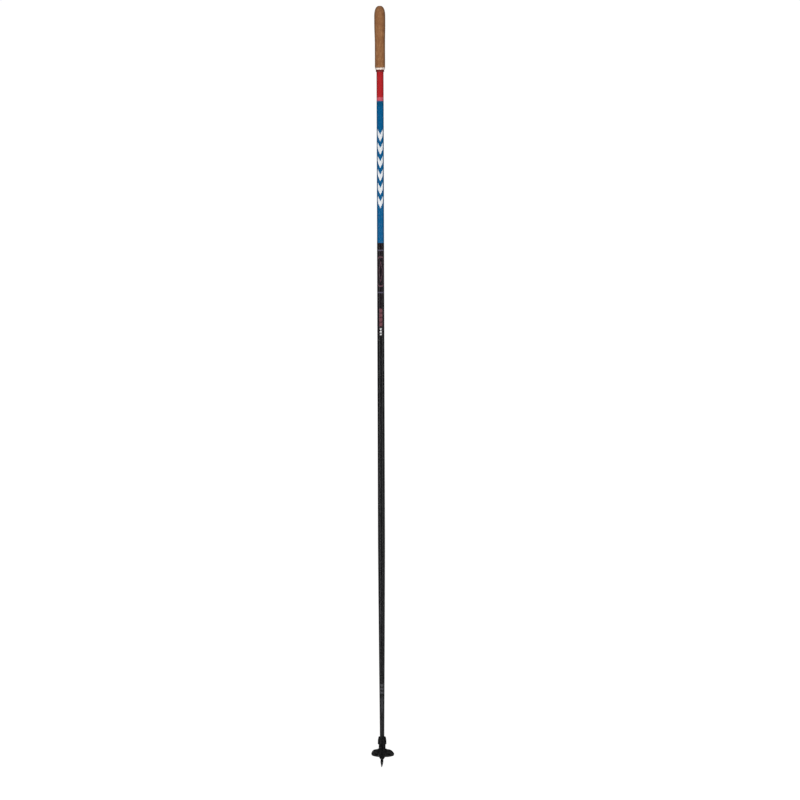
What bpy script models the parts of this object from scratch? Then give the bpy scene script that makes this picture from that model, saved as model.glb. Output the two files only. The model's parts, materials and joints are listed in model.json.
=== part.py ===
"""A cross-country ski pole: cork grip, tapered tube, and a clamped basket with a hard point.

The tube's axis is Z, with the grip at the top. The origin is the middle of the hand hold.
The pole travels towards -Y, and the strap leaves the grip at +Y. Sizes are in metres.
The grip is drawn from its top downwards, and the basket end from the point upwards.
"""

import math

import bmesh
import bpy
from mathutils import Matrix, Vector

OBJECT_NAME = "ski_pole"

# Overall
POLE_LENGTH = 1.715  # top of the grip to the point
HOLD_BELOW_TOP = 0.072  # middle of the hand hold, below the top of the grip

# Clearances
GAP = 0.0003  # between faces that touch, are glued or slide
THREAD_GAP = 0.0003  # all round the nut's thread

# Tube
TUBE_DIAMETER = 0.016
TUBE_END_DIAMETER = 0.0102
TUBE_WALL = 0.0009
TAPER_LENGTH = 0.424
TAPER_POWER = 1.2  # above 1, the taper starts gently
STRAIGHT_END = 0.016  # length of the thin lower end that doesn't taper

# Grip
GRIP_LENGTH = 0.139
CORE_WALL = 0.0009
CORE_TOP_WALL = 0.0015
CORK_WALL = 0.0020  # at its thinnest, beside the core
NECK_EXTRA_DEPTH = 0.0010  # front to back, more than the width
HEAD_SWELL = 0.0018  # the head's width, more than the neck's
HEAD_EXTRA_DEPTH = 0.0040
HEAD_LEAN = 0.0028  # the head's shift towards the front
DOME_HEIGHT = 0.024
DOME_POWER = 2.4  # 2 is an ellipse, more is squarer
SECTION_POWER = 2.25
SWELL_START = 0.038  # below the top, where the head starts to narrow
SWELL_END = 0.090
END_RING_HEIGHT = 0.0045
END_RING_SETBACK = 0.0002
END_RING_ROUND = 0.0007
COLLAR_HEIGHT = 0.0052
COLLAR_WALL = 0.0011
COLLAR_ROUND = 0.0004

# Strap housing and wedge, in the back of the head
HOUSING_TOP = 0.0165  # below the top of the grip
HOUSING_WALL = 0.0015
HOUSING_FRONT = 0.0060  # the box's front face, ahead of the axis
SLOT_WIDTH = 0.0152
STRAP_SPACE = 0.0046  # height left for the strap over the wedge
WEDGE_HEIGHT = 0.0056
WEDGE_NOSE_HEIGHT = 0.0040
WEDGE_TAB = 0.0022  # how far the wedge's tab stands out of the housing
WEDGE_TEETH = 5
TOOTH_HEIGHT = 0.0005
CORK_FLOOR = 0.0024  # cork between the housing and the core

# Point and sleeve
POINT_LENGTH = 0.0094
POINT_END_DIAMETER = 0.0016
POINT_DIAMETER = 0.0060
POINT_SHANK_DIAMETER = 0.0028
POINT_SHANK_LENGTH = 0.0110
SLEEVE_DIAMETER = 0.0065
SLEEVE_LENGTH = 0.0072
SLEEVE_CHAMFER = 0.0006
SLEEVE_SHANK_DIAMETER = 0.0050
SLEEVE_SHANK_LENGTH = 0.0095
POINT_LEAN = 0.38  # shift towards the front for each unit of height below the bend
BEND_HEIGHT = 0.027  # above the point, where the lean starts

# Basket hub
HUB_DIAMETER = 0.0154
HUB_CONE_HEIGHT = 0.0100  # from the sleeve to the hub's full width
HUB_WAIST_DIAMETER = 0.0126
HUB_WAIST_HEIGHT = 0.0038
NECK_BASE = 0.0404  # above the point, where the neck leaves the disc
NECK_HEIGHT = 0.0102
HUB_FLANGE_BELOW = 0.0042  # the flange's top, below the neck's base
HUB_FLANGE_HEIGHT = 0.0012
HUB_FLANGE_REACH = 0.0012
SOCKET_FLOOR = 0.0027  # between the sleeve's shank and the socket
MOUTH_HEIGHT = 0.0100  # the threaded end, above the neck
MOUTH_DEPTH = 0.0070  # of the cone that the collet sits in
MOUTH_FLARE = 0.0005  # the cone's radius grows by this
MOUTH_WALL = 0.00065

# Ferrule
SPIGOT_LENGTH = 0.024
FERRULE_FLANGE = 0.0015
STEM_DIAMETER = 0.0090
KEY_LENGTH = 0.016
KEY_SIDES = 6
KEY_SETBACK = 0.0001

# Collet
COLLET_WALL = 0.0005  # at its thin lower edge
COLLET_FLANGE_HEIGHT = 0.0016
COLLET_FLANGE_REACH = 0.0009
COLLET_SLITS = 4
SLIT_WIDTH = 0.0009
SLIT_DEPTH = 0.0058

# Lock nut
NUT_HEIGHT = 0.0181
NUT_DIAMETER = 0.0195
NUT_FLARE = 0.0021  # the top's radius is smaller by this
NUT_FLARE_POWER = 2.5
NUT_SKIRT = 0.0031  # straight lower part
NUT_CHAMFER = 0.0008
NUT_LIP_HEIGHT = 0.0012
NUT_HOLE_GAP = 0.0005
FLUTES = 10
FLUTE_RADIUS = 0.0017
FLUTE_DEPTH = 0.00045
THREAD_LEAD = 0.003
THREAD_DEPTH = 0.0007
THREAD_ROOT_WIDTH = 0.0014
THREAD_CREST_WIDTH = 0.0006
THREAD_TURNS = 1.6
RING_THICKNESS = 0.0010
RING_ABOVE_SHOULDER = 0.0016
SHAFT_SHOW = 0.0007  # height of the ferrule's flange above the nut

# Basket disc
DISC_HALF_WIDTH = 0.0258
DISC_FRONT = 0.0052  # ahead of the axis
DISC_REAR = 0.0264  # behind the axis
DISC_THICKNESS = 0.0028
DISC_DROP = 0.0009  # its middle, below the neck's base at the front edge
DISC_SLOPE = 0.545  # fall for each unit towards the rear
BOSS_WALL = 0.0024
BOSS_RISE = 0.0012
BOSS_HEIGHT = 0.0122
POCKET_OUT = 0.0137  # centre of each oval pocket, to the side
POCKET_BACK = 0.0094
POCKET_WIDTH = 0.0092
POCKET_LENGTH = 0.0132  # front to back
POCKET_SINK = 0.0011
LIP_WIDTH = 0.0009
LIP_HEIGHT = 0.0006
RIB_THICKNESS = 0.0015
RIB_DEPTH = 0.0034
RIB_END_DEPTH = 0.0006
RIB_REACH = 0.0205
RIB_ANGLES = (-26, 26)  # degrees from straight back
# Half of the outline from the middle of the front edge, as shares of half-width and of depth.
DISC_OUTLINE = (
    (0, 0),
    (0.42, 0),
    (0.70, 0.07),
    (0.85, 0.21),
    (0.94, 0.38),
    (1, 0.62),
    (0.93, 0.79),
    (0.63, 0.93),
    (0.25, 0.99),
    (0, 1),
)

# Facets
ROUND = 32
SMALL_ROUND = 24

# Places that follow from the sizes. Grip heights run down from its top.
TOP_Z = HOLD_BELOW_TOP
POINT_Z = TOP_Z - POLE_LENGTH
TUBE_RADIUS = TUBE_DIAMETER / 2
TUBE_END_RADIUS = TUBE_END_DIAMETER / 2
CORE_RADIUS = TUBE_RADIUS + GAP + CORE_WALL
NECK_WIDTH = 2 * (CORE_RADIUS + GAP + CORK_WALL)
HEAD_WIDTH = NECK_WIDTH + HEAD_SWELL
HOUSING_HEIGHT = WEDGE_HEIGHT + GAP + STRAP_SPACE + 2 * HOUSING_WALL
HOUSING_BOTTOM = HOUSING_TOP + HOUSING_HEIGHT
SLOT_TOP = HOUSING_TOP + HOUSING_WALL
SLOT_BOTTOM = HOUSING_BOTTOM - HOUSING_WALL
SLOT_FRONT = HOUSING_WALL - HOUSING_FRONT
CORE_TOP = HOUSING_BOTTOM + GAP + CORK_FLOOR
TUBE_TOP = CORE_TOP + CORE_TOP_WALL + GAP
END_RING_TOP = GRIP_LENGTH + GAP
COLLAR_TOP = END_RING_TOP + END_RING_HEIGHT + GAP
# Basket end heights run up from the point.
SLEEVE_BOTTOM = POINT_LENGTH + GAP
SLEEVE_TOP = SLEEVE_BOTTOM + SLEEVE_LENGTH
HUB_BOTTOM = SLEEVE_TOP + GAP
SHANK_TOP = SLEEVE_TOP + SLEEVE_SHANK_LENGTH
SOCKET_BOTTOM = SHANK_TOP + GAP + SOCKET_FLOOR
HUB_RADIUS = HUB_DIAMETER / 2
STEM_RADIUS = STEM_DIAMETER / 2
KEY_RADIUS = STEM_RADIUS - KEY_SETBACK
KEY_BOTTOM = SOCKET_BOTTOM + GAP
KEY_TOP = KEY_BOTTOM + KEY_LENGTH
NECK_TOP = NECK_BASE + NECK_HEIGHT
HUB_TOP = NECK_TOP + MOUTH_HEIGHT
BORE_RADIUS = STEM_RADIUS + GAP
COLLET_FOOT_RADIUS = BORE_RADIUS + COLLET_WALL
MOUTH_FLOOR = HUB_TOP - MOUTH_DEPTH
MOUTH_FOOT_RADIUS = COLLET_FOOT_RADIUS + GAP
MOUTH_TOP_RADIUS = MOUTH_FOOT_RADIUS + MOUTH_FLARE
THREAD_ROOT_RADIUS = MOUTH_TOP_RADIUS + MOUTH_WALL
THREAD_CREST_RADIUS = THREAD_ROOT_RADIUS + THREAD_DEPTH
NUT_BOTTOM = NECK_TOP + GAP
NUT_TOP = NUT_BOTTOM + NUT_HEIGHT
LIP_BOTTOM = HUB_TOP + GAP
LIP_TOP = LIP_BOTTOM + NUT_LIP_HEIGHT
FLANGE_BOTTOM = LIP_TOP + GAP
FLANGE_TOP = FLANGE_BOTTOM + COLLET_FLANGE_HEIGHT
SHOULDER = FLANGE_TOP + GAP
COLLET_NECK_RADIUS = COLLET_FOOT_RADIUS + MOUTH_FLARE
COLLET_FLANGE_RADIUS = COLLET_NECK_RADIUS + COLLET_FLANGE_REACH
PASSING_RADIUS = max(TUBE_END_RADIUS, STEM_RADIUS)  # the widest that goes through the nut
NUT_HOLE_RADIUS = PASSING_RADIUS + NUT_HOLE_GAP
NUT_BORE_RADIUS = THREAD_ROOT_RADIUS + THREAD_GAP
NUT_RADIUS = NUT_DIAMETER / 2
FERRULE_TOP = NUT_TOP + SHAFT_SHOW
FERRULE_BOTTOM = FERRULE_TOP - FERRULE_FLANGE
TUBE_BOTTOM = FERRULE_TOP + GAP
RING_RADIUS = RING_THICKNESS / 2
RING_CENTRE_RADIUS = PASSING_RADIUS + GAP + RING_RADIUS
RING_HEIGHT = SHOULDER + RING_ABOVE_SHOULDER + RING_RADIUS
BOSS_RADIUS = HUB_RADIUS + GAP + BOSS_WALL
BOSS_TOP = NECK_BASE + BOSS_RISE


# Scene, materials and objects


def clear_scene():
    for old in list(bpy.data.objects):
        bpy.data.objects.remove(old, do_unlink=True)


def add_collection(name):
    made = bpy.data.collections.new(name)
    bpy.context.scene.collection.children.link(made)
    return made


clear_scene()
PARTS = add_collection(OBJECT_NAME)
CUTTERS = add_collection("cutters")


def add_empty(name, height, parent=None):
    """An empty on the pole's axis. Its children are drawn from its place."""
    empty = bpy.data.objects.new(name, None)
    empty.empty_display_size = 0.02
    PARTS.objects.link(empty)
    empty.location = (0, 0, height)
    empty.parent = parent
    return empty


def finish_material(name, colour, roughness, metallic):
    made = bpy.data.materials.new(name)
    made.use_nodes = True
    shader = made.node_tree.nodes["Principled BSDF"]
    shader.inputs["Base Color"].default_value = (*colour, 1)
    shader.inputs["Roughness"].default_value = roughness
    shader.inputs["Metallic"].default_value = metallic
    made.diffuse_color = (*colour, 1)
    return made


def add_object(name, mesh, home, look=None):
    """A part when it has a look, and otherwise a cutter."""
    made = bpy.data.objects.new(name, mesh)
    made.parent = home
    if look:
        PARTS.objects.link(made)
        mesh.materials.clear()
        mesh.materials.append(finish_material(name, *look))
    else:
        CUTTERS.objects.link(made)
        made.hide_render = True
        made.display_type = "WIRE"
    return made


def smooth(mesh, angle=35):
    mesh.shade_smooth()
    mesh.set_sharp_from_angle(angle=math.radians(angle))


# Shapes


def turned(name, outline, home, look=None, facets=ROUND):
    """A turned shape. The outline is (radius, height) pairs, down the outside."""
    mesh = bpy.data.meshes.new(name)
    points = [(radius, 0, height) for radius, height in outline]
    ends_on_axis = outline[0][0] == 0 and outline[-1][0] == 0
    count = len(points)
    edges = [(i, i + 1) for i in range(count - 1)]
    if not ends_on_axis:
        edges.append((count - 1, 0))
    mesh.from_pydata(points, edges, [])
    made = add_object(name, mesh, home, look)
    screw = made.modifiers.new("turn", "SCREW")
    screw.steps = screw.render_steps = facets
    screw.use_merge_vertices = True
    screw.merge_threshold = 1e-6
    screw.use_smooth_shade = False
    weld = made.modifiers.new("weld", "WELD")
    weld.merge_threshold = 1e-6
    return made


def loft(name, rings, home, look=None):
    """A skin over rings of points, with its two ends closed."""
    form = bmesh.new()
    made_rings = [[form.verts.new(point) for point in ring] for ring in rings]
    count = len(rings[0])
    for upper, lower in zip(made_rings, made_rings[1:]):
        for i in range(count):
            k = (i + 1) % count
            form.faces.new((upper[i], lower[i], lower[k], upper[k]))
    form.faces.new(made_rings[0])
    form.faces.new(reversed(made_rings[-1]))
    bmesh.ops.recalc_face_normals(form, faces=form.faces)
    mesh = bpy.data.meshes.new(name)
    form.to_mesh(mesh)
    form.free()
    smooth(mesh)
    return add_object(name, mesh, home, look)


def block(name, low, high, home, look=None):
    form = bmesh.new()
    bmesh.ops.create_cube(form, size=1)
    size = [b - a for a, b in zip(low, high)]
    middle = [(a + b) / 2 for a, b in zip(low, high)]
    bmesh.ops.scale(form, vec=size, verts=form.verts)
    bmesh.ops.translate(form, vec=middle, verts=form.verts)
    mesh = bpy.data.meshes.new(name)
    form.to_mesh(mesh)
    form.free()
    return add_object(name, mesh, home, look)


def prism(name, radius, bottom, top, home, look=None, sides=SMALL_ROUND, stretch=(1, 1), shift=(0, 0)):
    """An upright cylinder or prism, which may be oval and off the axis."""
    form = bmesh.new()
    bmesh.ops.create_cone(
        form, cap_ends=True, segments=sides, radius1=radius, radius2=radius, depth=top - bottom
    )
    bmesh.ops.scale(form, vec=(*stretch, 1), verts=form.verts)
    bmesh.ops.translate(form, vec=(*shift, (top + bottom) / 2), verts=form.verts)
    mesh = bpy.data.meshes.new(name)
    form.to_mesh(mesh)
    form.free()
    smooth(mesh)
    return add_object(name, mesh, home, look)


def flat_shape(name, outline, thickness, home, look=None, place=None, rounded=False):
    """A flat outline given a thickness: straight between its points, or rounded through them."""
    curve = bpy.data.curves.new(name + "_outline", "CURVE")
    curve.dimensions = "2D"
    curve.fill_mode = "BOTH"
    curve.extrude = thickness / 2
    if rounded:
        curve.resolution_u = 6
        spline = curve.splines.new("BEZIER")
        spline.bezier_points.add(len(outline) - 1)
        for knot, (x, y) in zip(spline.bezier_points, outline):
            knot.co = (x, y, 0)
            knot.handle_left_type = knot.handle_right_type = "AUTO"
    else:
        spline = curve.splines.new("POLY")
        spline.points.add(len(outline) - 1)
        for knot, (x, y) in zip(spline.points, outline):
            knot.co = (x, y, 0, 1)
    spline.use_cyclic_u = True
    guide = bpy.data.objects.new(name + "_guide", curve)
    bpy.context.scene.collection.objects.link(guide)
    shown = guide.evaluated_get(bpy.context.evaluated_depsgraph_get())
    mesh = bpy.data.meshes.new_from_object(shown)
    bpy.data.objects.remove(guide, do_unlink=True)
    mesh.name = name
    form = bmesh.new()
    form.from_mesh(mesh)
    bmesh.ops.remove_doubles(form, verts=form.verts, dist=1e-6)
    if place:
        bmesh.ops.transform(form, matrix=place, verts=form.verts)
    bmesh.ops.recalc_face_normals(form, faces=form.faces)
    form.to_mesh(mesh)
    form.free()
    return add_object(name, mesh, home, look)


def helix(name, inner, root, crest, root_width, crest_width, bottom, turns, home):
    """A threaded ridge that climbs as it turns, reaching inwards past its root to be joined."""
    rings = []
    steps = round(SMALL_ROUND * turns)
    for step in range(steps + 1):
        angle = 2 * math.pi * turns * step / steps
        height = bottom + THREAD_LEAD * turns * step / steps
        out = Vector((math.cos(angle), math.sin(angle), 0))
        corners = (
            (inner, -root_width / 2),
            (root, -root_width / 2),
            (crest, -crest_width / 2),
            (crest, crest_width / 2),
            (root, root_width / 2),
            (inner, root_width / 2),
        )
        rings.append([out * radius + Vector((0, 0, height + rise)) for radius, rise in corners])
    return loft(name, rings, home)


def change(target, tool, operation="DIFFERENCE"):
    step = target.modifiers.new(tool.name, "BOOLEAN")
    step.operation = operation
    step.object = tool
    step.solver = "EXACT"


def keep_result(target):
    """Fixes the object's modifiers into its mesh."""
    bpy.context.view_layer.update()
    shown = target.evaluated_get(bpy.context.evaluated_depsgraph_get())
    mesh = bpy.data.meshes.new_from_object(shown)
    target.modifiers.clear()
    target.data = mesh
    return target


def move_points(target, rule):
    for vertex in target.data.vertices:
        vertex.co = rule(vertex.co.copy())


# Looks: colour, roughness, metallic
CORK = ((0.33, 0.155, 0.065), 0.85, 0)
BLACK_PLASTIC = ((0.012, 0.012, 0.013), 0.45, 0)
SOFT_BLACK = ((0.010, 0.010, 0.011), 0.6, 0)
WHITE_PLASTIC = ((0.85, 0.83, 0.80), 0.4, 0)
RED_COLLAR = ((0.16, 0.018, 0.018), 0.4, 0)
CARBON = ((0.020, 0.019, 0.020), 0.3, 0)
FERRULE_METAL = ((0.10, 0.10, 0.105), 0.4, 1)
SEAL_RUBBER = ((0.008, 0.008, 0.008), 0.7, 0)
COLLET_PLASTIC = ((0.30, 0.30, 0.29), 0.5, 0)
DARK_STEEL = ((0.10, 0.10, 0.105), 0.35, 1)
HARD_METAL = ((0.055, 0.055, 0.06), 0.45, 1)


# Grip


def eased(share):
    share = min(max(share, 0), 1)
    return share * share * (3 - 2 * share)


def grip_section(down, scale=1.0):
    """A closed ring of the grip's outside, this far below its top."""
    narrow = eased((down - SWELL_START) / (SWELL_END - SWELL_START))
    width = HEAD_WIDTH - HEAD_SWELL * narrow
    extra = HEAD_EXTRA_DEPTH + (NECK_EXTRA_DEPTH - HEAD_EXTRA_DEPTH) * narrow
    shift = -HEAD_LEAN * (1 - narrow)
    ring = []
    for step in range(ROUND):
        angle = 2 * math.pi * step / ROUND
        across, along = math.cos(angle), math.sin(angle)
        x = math.copysign(abs(across) ** (2 / SECTION_POWER), across) * width / 2
        y = math.copysign(abs(along) ** (2 / SECTION_POWER), along) * (width + extra) / 2
        ring.append(Vector((x * scale, y * scale + shift, -down)))
    return ring


def grip_rings():
    """Rings over the domed head, and then down the hold."""
    rings = []
    dome_steps = 8
    first = math.radians(7)
    highest = math.cos(first) ** (2 / DOME_POWER)
    for step in range(dome_steps + 1):
        angle = first + (math.pi / 2 - first) * step / dome_steps
        fall = 1 - (math.cos(angle) ** (2 / DOME_POWER)) / highest if step < dome_steps else 1
        rings.append(grip_section(DOME_HEIGHT * fall, math.sin(angle) ** (2 / DOME_POWER)))
    hold_steps = 9
    for step in range(1, hold_steps + 1):
        rings.append(grip_section(DOME_HEIGHT + (GRIP_LENGTH - DOME_HEIGHT) * step / hold_steps))
    return rings


def rear_of_head():
    return grip_section((SLOT_TOP + SLOT_BOTTOM) / 2)[ROUND // 4].y


def make_cork_grip(home):
    cork = loft("cork_grip", grip_rings(), home, CORK)
    bore = prism("cork_bore", CORE_RADIUS + GAP, -2 * GRIP_LENGTH, GAP - CORE_TOP, home, sides=ROUND)
    half = SLOT_WIDTH / 2 + HOUSING_WALL + GAP
    low = (-half, -HOUSING_FRONT - GAP, -HOUSING_BOTTOM - GAP)
    high = (half, HEAD_WIDTH, -HOUSING_TOP + GAP)
    pocket = block("housing_pocket", low, high, home)
    change(cork, bore)
    change(cork, pocket)


def make_strap_housing(home):
    half = SLOT_WIDTH / 2 + HOUSING_WALL
    low = (-half, -HOUSING_FRONT, -HOUSING_BOTTOM)
    high = (half, HEAD_WIDTH, -HOUSING_TOP)
    housing = block("strap_housing", low, high, home, BLACK_PLASTIC)
    form = loft("head_form", grip_rings(), home)
    slot_low = (-SLOT_WIDTH / 2, SLOT_FRONT, -SLOT_BOTTOM)
    slot_high = (SLOT_WIDTH / 2, 2 * HEAD_WIDTH, -SLOT_TOP)
    slot = block("strap_slot", slot_low, slot_high, home)
    change(housing, form, "INTERSECT")
    change(housing, slot)


def make_strap_wedge(home):
    """A toothed wedge on the slot's floor. Its outline is drawn seen from the side."""
    floor = -SLOT_BOTTOM + GAP
    nose = SLOT_FRONT + GAP
    rear = rear_of_head() + WEDGE_TAB
    tooth_start = nose + (rear - nose) * 0.15
    tooth_end = rear - WEDGE_TAB - 0.15 * (rear - nose)
    body_top = floor + WEDGE_HEIGHT - TOOTH_HEIGHT

    def top_at(y):
        share = min(1, (y - nose) / (tooth_end - nose))
        return floor + WEDGE_NOSE_HEIGHT + (body_top - floor - WEDGE_NOSE_HEIGHT) * share

    outline = [(nose, floor), (nose, top_at(nose))]
    for tooth in range(WEDGE_TEETH):
        start = tooth_start + (tooth_end - tooth_start) * tooth / WEDGE_TEETH
        end = tooth_start + (tooth_end - tooth_start) * (tooth + 1) / WEDGE_TEETH
        outline.append((start, top_at(start)))
        outline.append((start * 0.3 + end * 0.7, top_at(end) + TOOTH_HEIGHT))
    outline.append((tooth_end, top_at(tooth_end)))
    outline.append((rear - WEDGE_TAB / 2, body_top))
    outline.append((rear, body_top - WEDGE_TAB / 2))
    outline.append((rear, floor))
    side_on = Matrix(((0, 0, 1, 0), (1, 0, 0, 0), (0, 1, 0, 0), (0, 0, 0, 1)))
    width = SLOT_WIDTH - 2 * GAP
    flat_shape("strap_wedge", outline, width, home, BLACK_PLASTIC, place=side_on)


def make_grip_core(home):
    inner = TUBE_RADIUS + GAP
    lower = -(END_RING_TOP + END_RING_HEIGHT)
    inner_top = -(CORE_TOP + CORE_TOP_WALL)
    outline = [
        (0, -CORE_TOP),
        (CORE_RADIUS, -CORE_TOP),
        (CORE_RADIUS, lower),
        (inner, lower),
        (inner, inner_top),
        (0, inner_top),
    ]
    turned("grip_core", outline, home, BLACK_PLASTIC)


def rounded_band(inner, outer, top, bottom, corner):
    """The outline of a ring with rounded outer corners."""
    outline = [(inner, top)]
    for centre, turns in ((top - corner, (90, 45, 0)), (bottom + corner, (0, -45, -90))):
        for degrees in turns:
            angle = math.radians(degrees)
            radius = outer - corner + corner * math.cos(angle)
            outline.append((radius, centre + corner * math.sin(angle)))
    outline.append((inner, bottom))
    return outline


def make_end_ring(home):
    outer = NECK_WIDTH / 2 - END_RING_SETBACK
    bottom = -(END_RING_TOP + END_RING_HEIGHT)
    band = rounded_band(CORE_RADIUS + GAP, outer, -END_RING_TOP, bottom, END_RING_ROUND)
    turned("grip_end_ring", band, home, WHITE_PLASTIC)


def make_collar(home):
    inner = TUBE_RADIUS + GAP
    bottom = -(COLLAR_TOP + COLLAR_HEIGHT)
    band = rounded_band(inner, inner + COLLAR_WALL, -COLLAR_TOP, bottom, COLLAR_ROUND)
    turned("grip_collar", band, home, RED_COLLAR)


# Tube and ferrule


def tube_radius(height):
    """The tube's outer radius, this high above the point."""
    taper_bottom = TUBE_BOTTOM + STRAIGHT_END
    share = min(max((taper_bottom + TAPER_LENGTH - height) / TAPER_LENGTH, 0), 1)
    return TUBE_RADIUS - (TUBE_RADIUS - TUBE_END_RADIUS) * share**TAPER_POWER


def make_shaft(home):
    top = POLE_LENGTH - TUBE_TOP
    taper_bottom = TUBE_BOTTOM + STRAIGHT_END
    taper_steps = 8
    heights = [top]
    for step in range(taper_steps + 1):
        heights.append(taper_bottom + TAPER_LENGTH * (1 - step / taper_steps))
    heights.append(TUBE_BOTTOM)
    outline = [(tube_radius(height), height) for height in heights]
    outline += [(tube_radius(height) - TUBE_WALL, height) for height in reversed(heights)]
    turned("shaft", outline, home, CARBON)


def make_ferrule(home):
    spigot = TUBE_END_RADIUS - TUBE_WALL - GAP
    top = FERRULE_TOP + SPIGOT_LENGTH
    chamfer = spigot / 5
    outline = [
        (0, top),
        (spigot - chamfer, top),
        (spigot, top - chamfer),
        (spigot, FERRULE_TOP),
        (PASSING_RADIUS, FERRULE_TOP),
        (PASSING_RADIUS, FERRULE_BOTTOM),
        (STEM_RADIUS, FERRULE_BOTTOM),
        (STEM_RADIUS, KEY_TOP),
        (0, KEY_TOP),
    ]
    ferrule = turned("tip_ferrule", outline, home, FERRULE_METAL, SMALL_ROUND)
    overlap = KEY_TOP + STEM_RADIUS
    key = prism("ferrule_key", KEY_RADIUS, KEY_BOTTOM, overlap, home, sides=KEY_SIDES)
    change(ferrule, key, "UNION")


# Basket end


def leaned(point):
    """Shifts what is below the bend towards the front."""
    point.y -= POINT_LEAN * max(0, BEND_HEIGHT - point.z)
    return point


def make_basket_hub(home):
    flange_top = NECK_BASE - HUB_FLANGE_BELOW
    flange_bottom = flange_top - HUB_FLANGE_HEIGHT
    flange_radius = HUB_RADIUS + HUB_FLANGE_REACH
    cone_top = HUB_BOTTOM + HUB_CONE_HEIGHT
    outline = [
        (0, HUB_TOP),
        (THREAD_ROOT_RADIUS, HUB_TOP),
        (THREAD_ROOT_RADIUS, NECK_TOP),
        (HUB_RADIUS, NECK_TOP),
        (HUB_RADIUS, flange_top),
        (flange_radius, flange_top),
        (flange_radius, flange_bottom),
        (HUB_RADIUS, flange_bottom),
        (HUB_RADIUS, cone_top),
        (HUB_WAIST_DIAMETER / 2, HUB_BOTTOM + HUB_WAIST_HEIGHT),
        (SLEEVE_DIAMETER / 2 + GAP, HUB_BOTTOM),
        (0, HUB_BOTTOM),
    ]
    hub = keep_result(turned("basket_hub", outline, home, BLACK_PLASTIC, SMALL_ROUND))
    move_points(hub, leaned)
    shank_radius = SLEEVE_SHANK_DIAMETER / 2 + GAP
    below = HUB_BOTTOM - SLEEVE_LENGTH / 2
    shank_bore = prism("shank_bore", shank_radius, below, SHANK_TOP + GAP, home)
    move_points(shank_bore, leaned)
    key_socket = prism("key_socket", KEY_RADIUS + GAP, SOCKET_BOTTOM, KEY_TOP + GAP, home, sides=KEY_SIDES)
    stem_bore = prism("stem_bore", BORE_RADIUS, KEY_TOP - GAP, HUB_TOP, home)
    over = HUB_TOP + MOUTH_FLARE
    cone = [(0, over), (MOUTH_TOP_RADIUS, over), (MOUTH_TOP_RADIUS, HUB_TOP)]
    cone += [(MOUTH_FOOT_RADIUS, MOUTH_FLOOR), (0, MOUTH_FLOOR)]
    mouth = turned("mouth_cone", cone, home, facets=SMALL_ROUND)
    ridge_bottom = HUB_TOP - THREAD_ROOT_WIDTH / 2 - THREAD_LEAD * THREAD_TURNS - GAP
    middle = THREAD_ROOT_RADIUS - MOUTH_WALL / 2
    sizes = (middle, THREAD_ROOT_RADIUS, THREAD_CREST_RADIUS, THREAD_ROOT_WIDTH, THREAD_CREST_WIDTH)
    ridge = helix("hub_thread", *sizes, ridge_bottom, THREAD_TURNS, home)
    change(hub, ridge, "UNION")
    for cutter in (shank_bore, key_socket, stem_bore, mouth):
        change(hub, cutter)
    return ridge_bottom


def make_tip_sleeve(home):
    radius = SLEEVE_DIAMETER / 2
    shank = SLEEVE_SHANK_DIAMETER / 2
    bore = POINT_SHANK_DIAMETER / 2 + GAP
    floor = SLEEVE_BOTTOM + POINT_SHANK_LENGTH
    outline = [
        (0, SHANK_TOP),
        (shank, SHANK_TOP),
        (shank, SLEEVE_TOP),
        (radius, SLEEVE_TOP),
        (radius, SLEEVE_BOTTOM + SLEEVE_CHAMFER),
        (radius - SLEEVE_CHAMFER / 2, SLEEVE_BOTTOM),
        (bore, SLEEVE_BOTTOM),
        (bore, floor),
        (0, floor),
    ]
    sleeve = keep_result(turned("tip_sleeve", outline, home, DARK_STEEL, SMALL_ROUND))
    move_points(sleeve, leaned)


def make_carbide_tip(home):
    shank = POINT_SHANK_DIAMETER / 2
    top = SLEEVE_BOTTOM + POINT_SHANK_LENGTH - GAP
    outline = [
        (0, top),
        (shank, top),
        (shank, POINT_LENGTH),
        (POINT_DIAMETER / 2, POINT_LENGTH),
        (POINT_END_DIAMETER / 2, 0),
        (0, 0),
    ]
    point = keep_result(turned("carbide_tip", outline, home, HARD_METAL, SMALL_ROUND))
    move_points(point, leaned)


def oval(name, widen, bottom, top, side, home):
    radius = 1.0
    stretch = (POCKET_WIDTH / 2 + widen, POCKET_LENGTH / 2 + widen)
    shift = (side * POCKET_OUT, POCKET_BACK)
    return prism(name, radius, bottom, top, home, sides=SMALL_ROUND, stretch=stretch, shift=shift)


def make_rib(name, degrees, home):
    """A web under the disc that runs out from the hub, as a thin upright shape."""
    start = HUB_RADIUS + GAP
    under = DISC_THICKNESS / 4
    outline = [
        (start, -under),
        (RIB_REACH, -under),
        (RIB_REACH, -DISC_THICKNESS / 2 - RIB_END_DEPTH),
        (start, -DISC_THICKNESS / 2 - RIB_DEPTH),
    ]
    upright = Matrix(((0, 0, 1, 0), (1, 0, 0, 0), (0, 1, 0, 0), (0, 0, 0, 1)))
    turn = Matrix.Rotation(math.radians(degrees), 4, "Z")
    return flat_shape(name, outline, RIB_THICKNESS, home, place=turn @ upright)


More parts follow.
